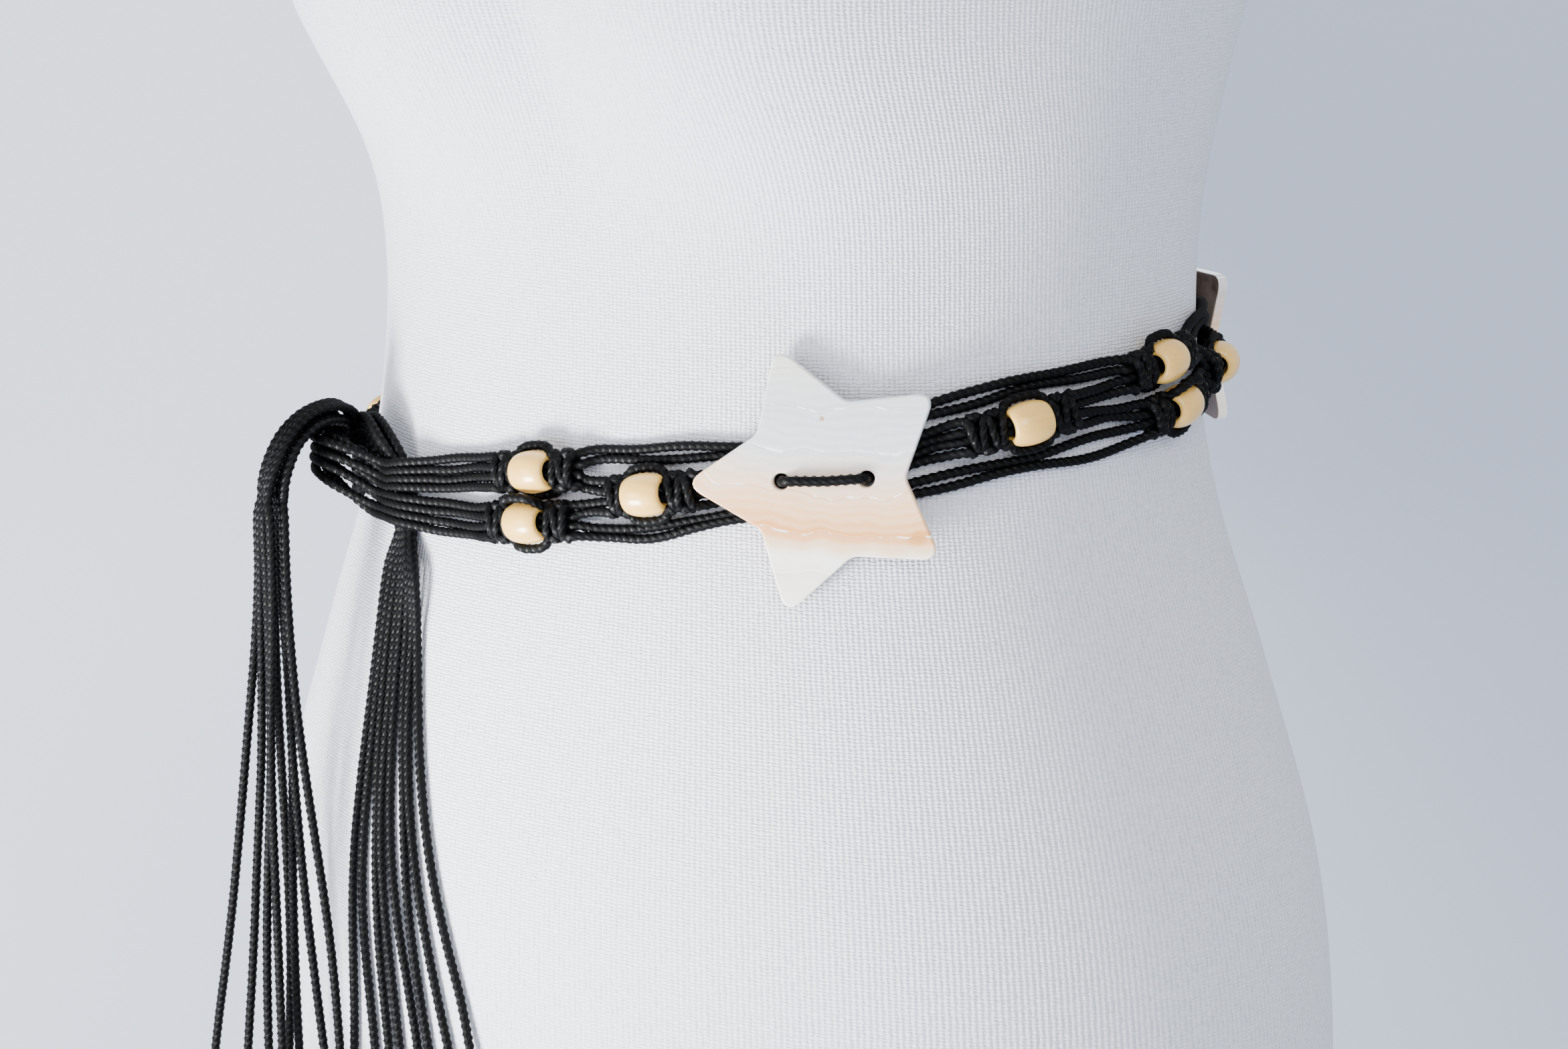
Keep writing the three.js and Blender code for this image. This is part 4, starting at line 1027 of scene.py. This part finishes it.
class BELT_OT_shell_stars(bpy.types.Operator):
    """Adds the shell stars and the cords that lace them"""
    bl_idname = "belt.shell_stars"
    bl_label = "Shell stars"

    def outline(self):
        corners = []
        for i in range(10):
            reach = STAR["notch" if i % 2 else "corner"] - STAR["edge"]
            corners.append(Vector((cos(pi + i * pi / 5), sin(pi + i * pi / 5))) * reach)
        points = []
        for i, corner in enumerate(corners):
            rounding = STAR_ROUNDING["notch" if i % 2 else "tip"]
            enter = corner.lerp(corners[i - 1], rounding)
            leave = corner.lerp(corners[(i + 1) % 10], rounding)
            for t in np.linspace(0, 1, STAR_ROUNDING["points"]):
                points.append(enter * (1 - t)**2 + corner * 2 * t * (1 - t) + leave * t**2)
        return points

    def star_mesh(self, name):
        data = bpy.data.curves.new(name, "CURVE")
        data.dimensions = "2D"
        data.fill_mode = "BOTH"
        data.extrude = (STAR["thick"] / 2 - STAR["edge"]) * MM
        data.bevel_depth = STAR["edge"] * MM
        data.bevel_resolution = 3
        loops = [self.outline()]
        reach = HOLE["diameter"] / 2 + STAR["edge"]
        for side in (-1, 1):
            x = side * HOLE["spacing"] / 2
            turns = (-2 * pi * k / HOLE["points"] for k in range(HOLE["points"]))
            loops.append([Vector((x + reach * cos(turn), reach * sin(turn))) for turn in turns])
        for loop in loops:
            spline = data.splines.new("POLY")
            spline.points.add(len(loop) - 1)
            for point, place in zip(spline.points, loop):
                point.co = (place.x * MM, place.y * MM, 0, 1)
            spline.use_cyclic_u = True
        return curve_mesh(name, data)

    def star(self, index, front, back):
        turn = radians(STAR_TURNS[index])
        model = bmesh.new()
        model.from_mesh(self.star_mesh(f"star_outline_{index + 1}"))
        bmesh.ops.remove_doubles(model, verts=model.verts, dist=SAME_PLACE)
        bmesh.ops.recalc_face_normals(model, faces=model.faces)
        bmesh.ops.translate(model, vec=(0, 0, STAR["thick"] / 2 * MM), verts=model.verts)
        bmesh.ops.rotate(model, matrix=Matrix.Rotation(turn, 3, "Z"), verts=model.verts)
        face_map = model.loops.layers.uv.new("face")
        model.normal_update()
        for face in model.faces:
            face.material_index = int(face.normal.z < BACK_FACING)
            for loop in face.loops:
                loop[face_map].uv = loop.vert.co.xy / FACE_UNIT
        place = belt_matrix(index * REPEAT + STAR_AT[0], STAR_AT[1], STAR_BACK)
        bmesh.ops.transform(model, matrix=place, verts=model.verts)
        name = f"cut_star_{index + 1}"
        mesh = finished_mesh(name, model)
        mesh.shade_smooth()
        mesh.set_sharp_from_angle(angle=radians(SHARP_ANGLE))
        piece = add_piece(name, mesh, [front, back], [f"shell_star_{index + 1}"])
        piece.modifiers.new("face normals", "WEIGHTED_NORMAL").keep_sharp = True
        return place @ Matrix.Rotation(turn, 4, "Z")

    def execute(self, context):
        settings = context.scene.belt_star
        step = context.scene.belt_cord.step
        back = shell_back_material(settings)
        half = HOLE["spacing"] / 2
        high = STAR["thick"] + GAP + LACING / 2
        # Up through one hole, over the face with a slight bow, and down through the other
        route = [
            (-half, 0, -0.1), (-half, 0, STAR["thick"] * 0.5), (-half + 0.5, 0, STAR["thick"] + 0.4),
            (-half + 2.4, 0.1, high), (0, -0.15, high + 0.1), (half - 2.4, 0.1, high),
            (half - 0.5, 0, STAR["thick"] + 0.4), (half, 0, STAR["thick"] * 0.5), (half, 0, -0.1)]
        for index in range(STAR_COUNT):
            front = shell_material(f"polished_shell_{index + 1}", settings, 3.1 * index)
            place = self.star(index, front, back)
            points = cord_route(route, step)
            placed = np.array([place @ Vector(point * MM) for point in points]) / MM
            rope_piece(f"lacing_cord_{index + 1}", [placed], f"star_lacing_{index + 1}", LACING_DRAWN)
        return {"FINISHED"}


class BELT_OT_stage(bpy.types.Operator):
    """Adds the floor, the lights and the camera"""
    bl_idname = "belt.stage"
    bl_label = "Stage"

    def light(self, name, power, size, place, cone):
        data = bpy.data.lights.new(name, "AREA")
        data.energy, data.size, data.spread = power, size, radians(cone)
        lamp = add_object(name, data)
        lamp.location = place
        lamp.rotation_euler = (Vector(place) - Vector(LAMP_AIM)).to_track_quat("Z", "Y").to_euler()
        lamp.visible_camera = False

    def execute(self, context):
        settings = context.scene.belt_stage
        model = bmesh.new()
        bmesh.ops.create_grid(model, x_segments=1, y_segments=1, size=FLOOR_REACH)
        mesh = finished_mesh("floor", model)
        mesh.materials.append(floor_material(settings))
        floor = add_object("floor", mesh)

        for name, (share, size, place, cone) in LAMPS.items():
            self.light(name, settings.key * share, size, place, cone)

        world = bpy.data.worlds.new("studio")
        world.use_nodes = True
        background = world.node_tree.nodes["Background"]
        background.inputs["Color"].default_value = linear(SKY_COLOUR)
        background.inputs["Strength"].default_value = settings.sky
        context.scene.world = world

        a, e = radians(CAMERA["azimuth"]), radians(CAMERA["elevation"])
        back = Vector((sin(a) * cos(e), -cos(a) * cos(e), sin(e)))
        data = bpy.data.cameras.new("camera")
        data.lens = CAMERA["lens"]
        data.sensor_width = 36.0
        data.clip_start, data.clip_end = 0.01, 100.0
        camera = add_object("camera", data)
        camera.location = (Vector(CAMERA["aim"]) + back * CAMERA["distance"]) * MM
        camera.rotation_euler = back.to_track_quat("Z", "Y").to_euler()
        context.scene.camera = camera
        return {"FINISHED"}


class BELT_PT_panel(bpy.types.Panel):
    """Sizes, colours and pieces of the belt"""
    bl_idname = "BELT_PT_panel"
    bl_label = "Knotted fringe belt"
    bl_space_type = "VIEW_3D"
    bl_region_type = "UI"
    bl_category = "Belt"

    def draw(self, context):
        for name, group in SETTINGS.items():
            box = self.layout.box()
            box.label(text=group.__doc__)
            settings = getattr(context.scene, name)
            for prop in group.__annotations__:
                box.prop(settings, prop)
        for operator in OPERATORS:
            self.layout.operator(operator.bl_idname)


SETTINGS = {
    "belt_form": BeltFormSettings,
    "belt_cord": BeltCordSettings,
    "belt_bead": BeltBeadSettings,
    "belt_star": BeltStarSettings,
    "belt_stage": BeltStageSettings,
}
OPERATORS = (
    BELT_OT_stage, BELT_OT_dress_form, BELT_OT_band_cords, BELT_OT_tie_and_fringe,
    BELT_OT_beads, BELT_OT_shell_stars,
)


def register():
    for name, group in SETTINGS.items():
        bpy.utils.register_class(group)
        setattr(bpy.types.Scene, name, bpy.props.PointerProperty(type=group))
    for made in (*OPERATORS, BELT_PT_panel):
        bpy.utils.register_class(made)


def unregister():
    for made in reversed((*OPERATORS, BELT_PT_panel)):
        bpy.utils.unregister_class(made)
    for name, group in SETTINGS.items():
        delattr(bpy.types.Scene, name)
        bpy.utils.unregister_class(group)


def main():
    register()
    bpy.ops.belt.stage()
    bpy.ops.belt.dress_form()
    bpy.ops.belt.band_cords()
    bpy.ops.belt.tie_and_fringe()
    bpy.ops.belt.beads()
    bpy.ops.belt.shell_stars()


if __name__ == "__main__":
    main()
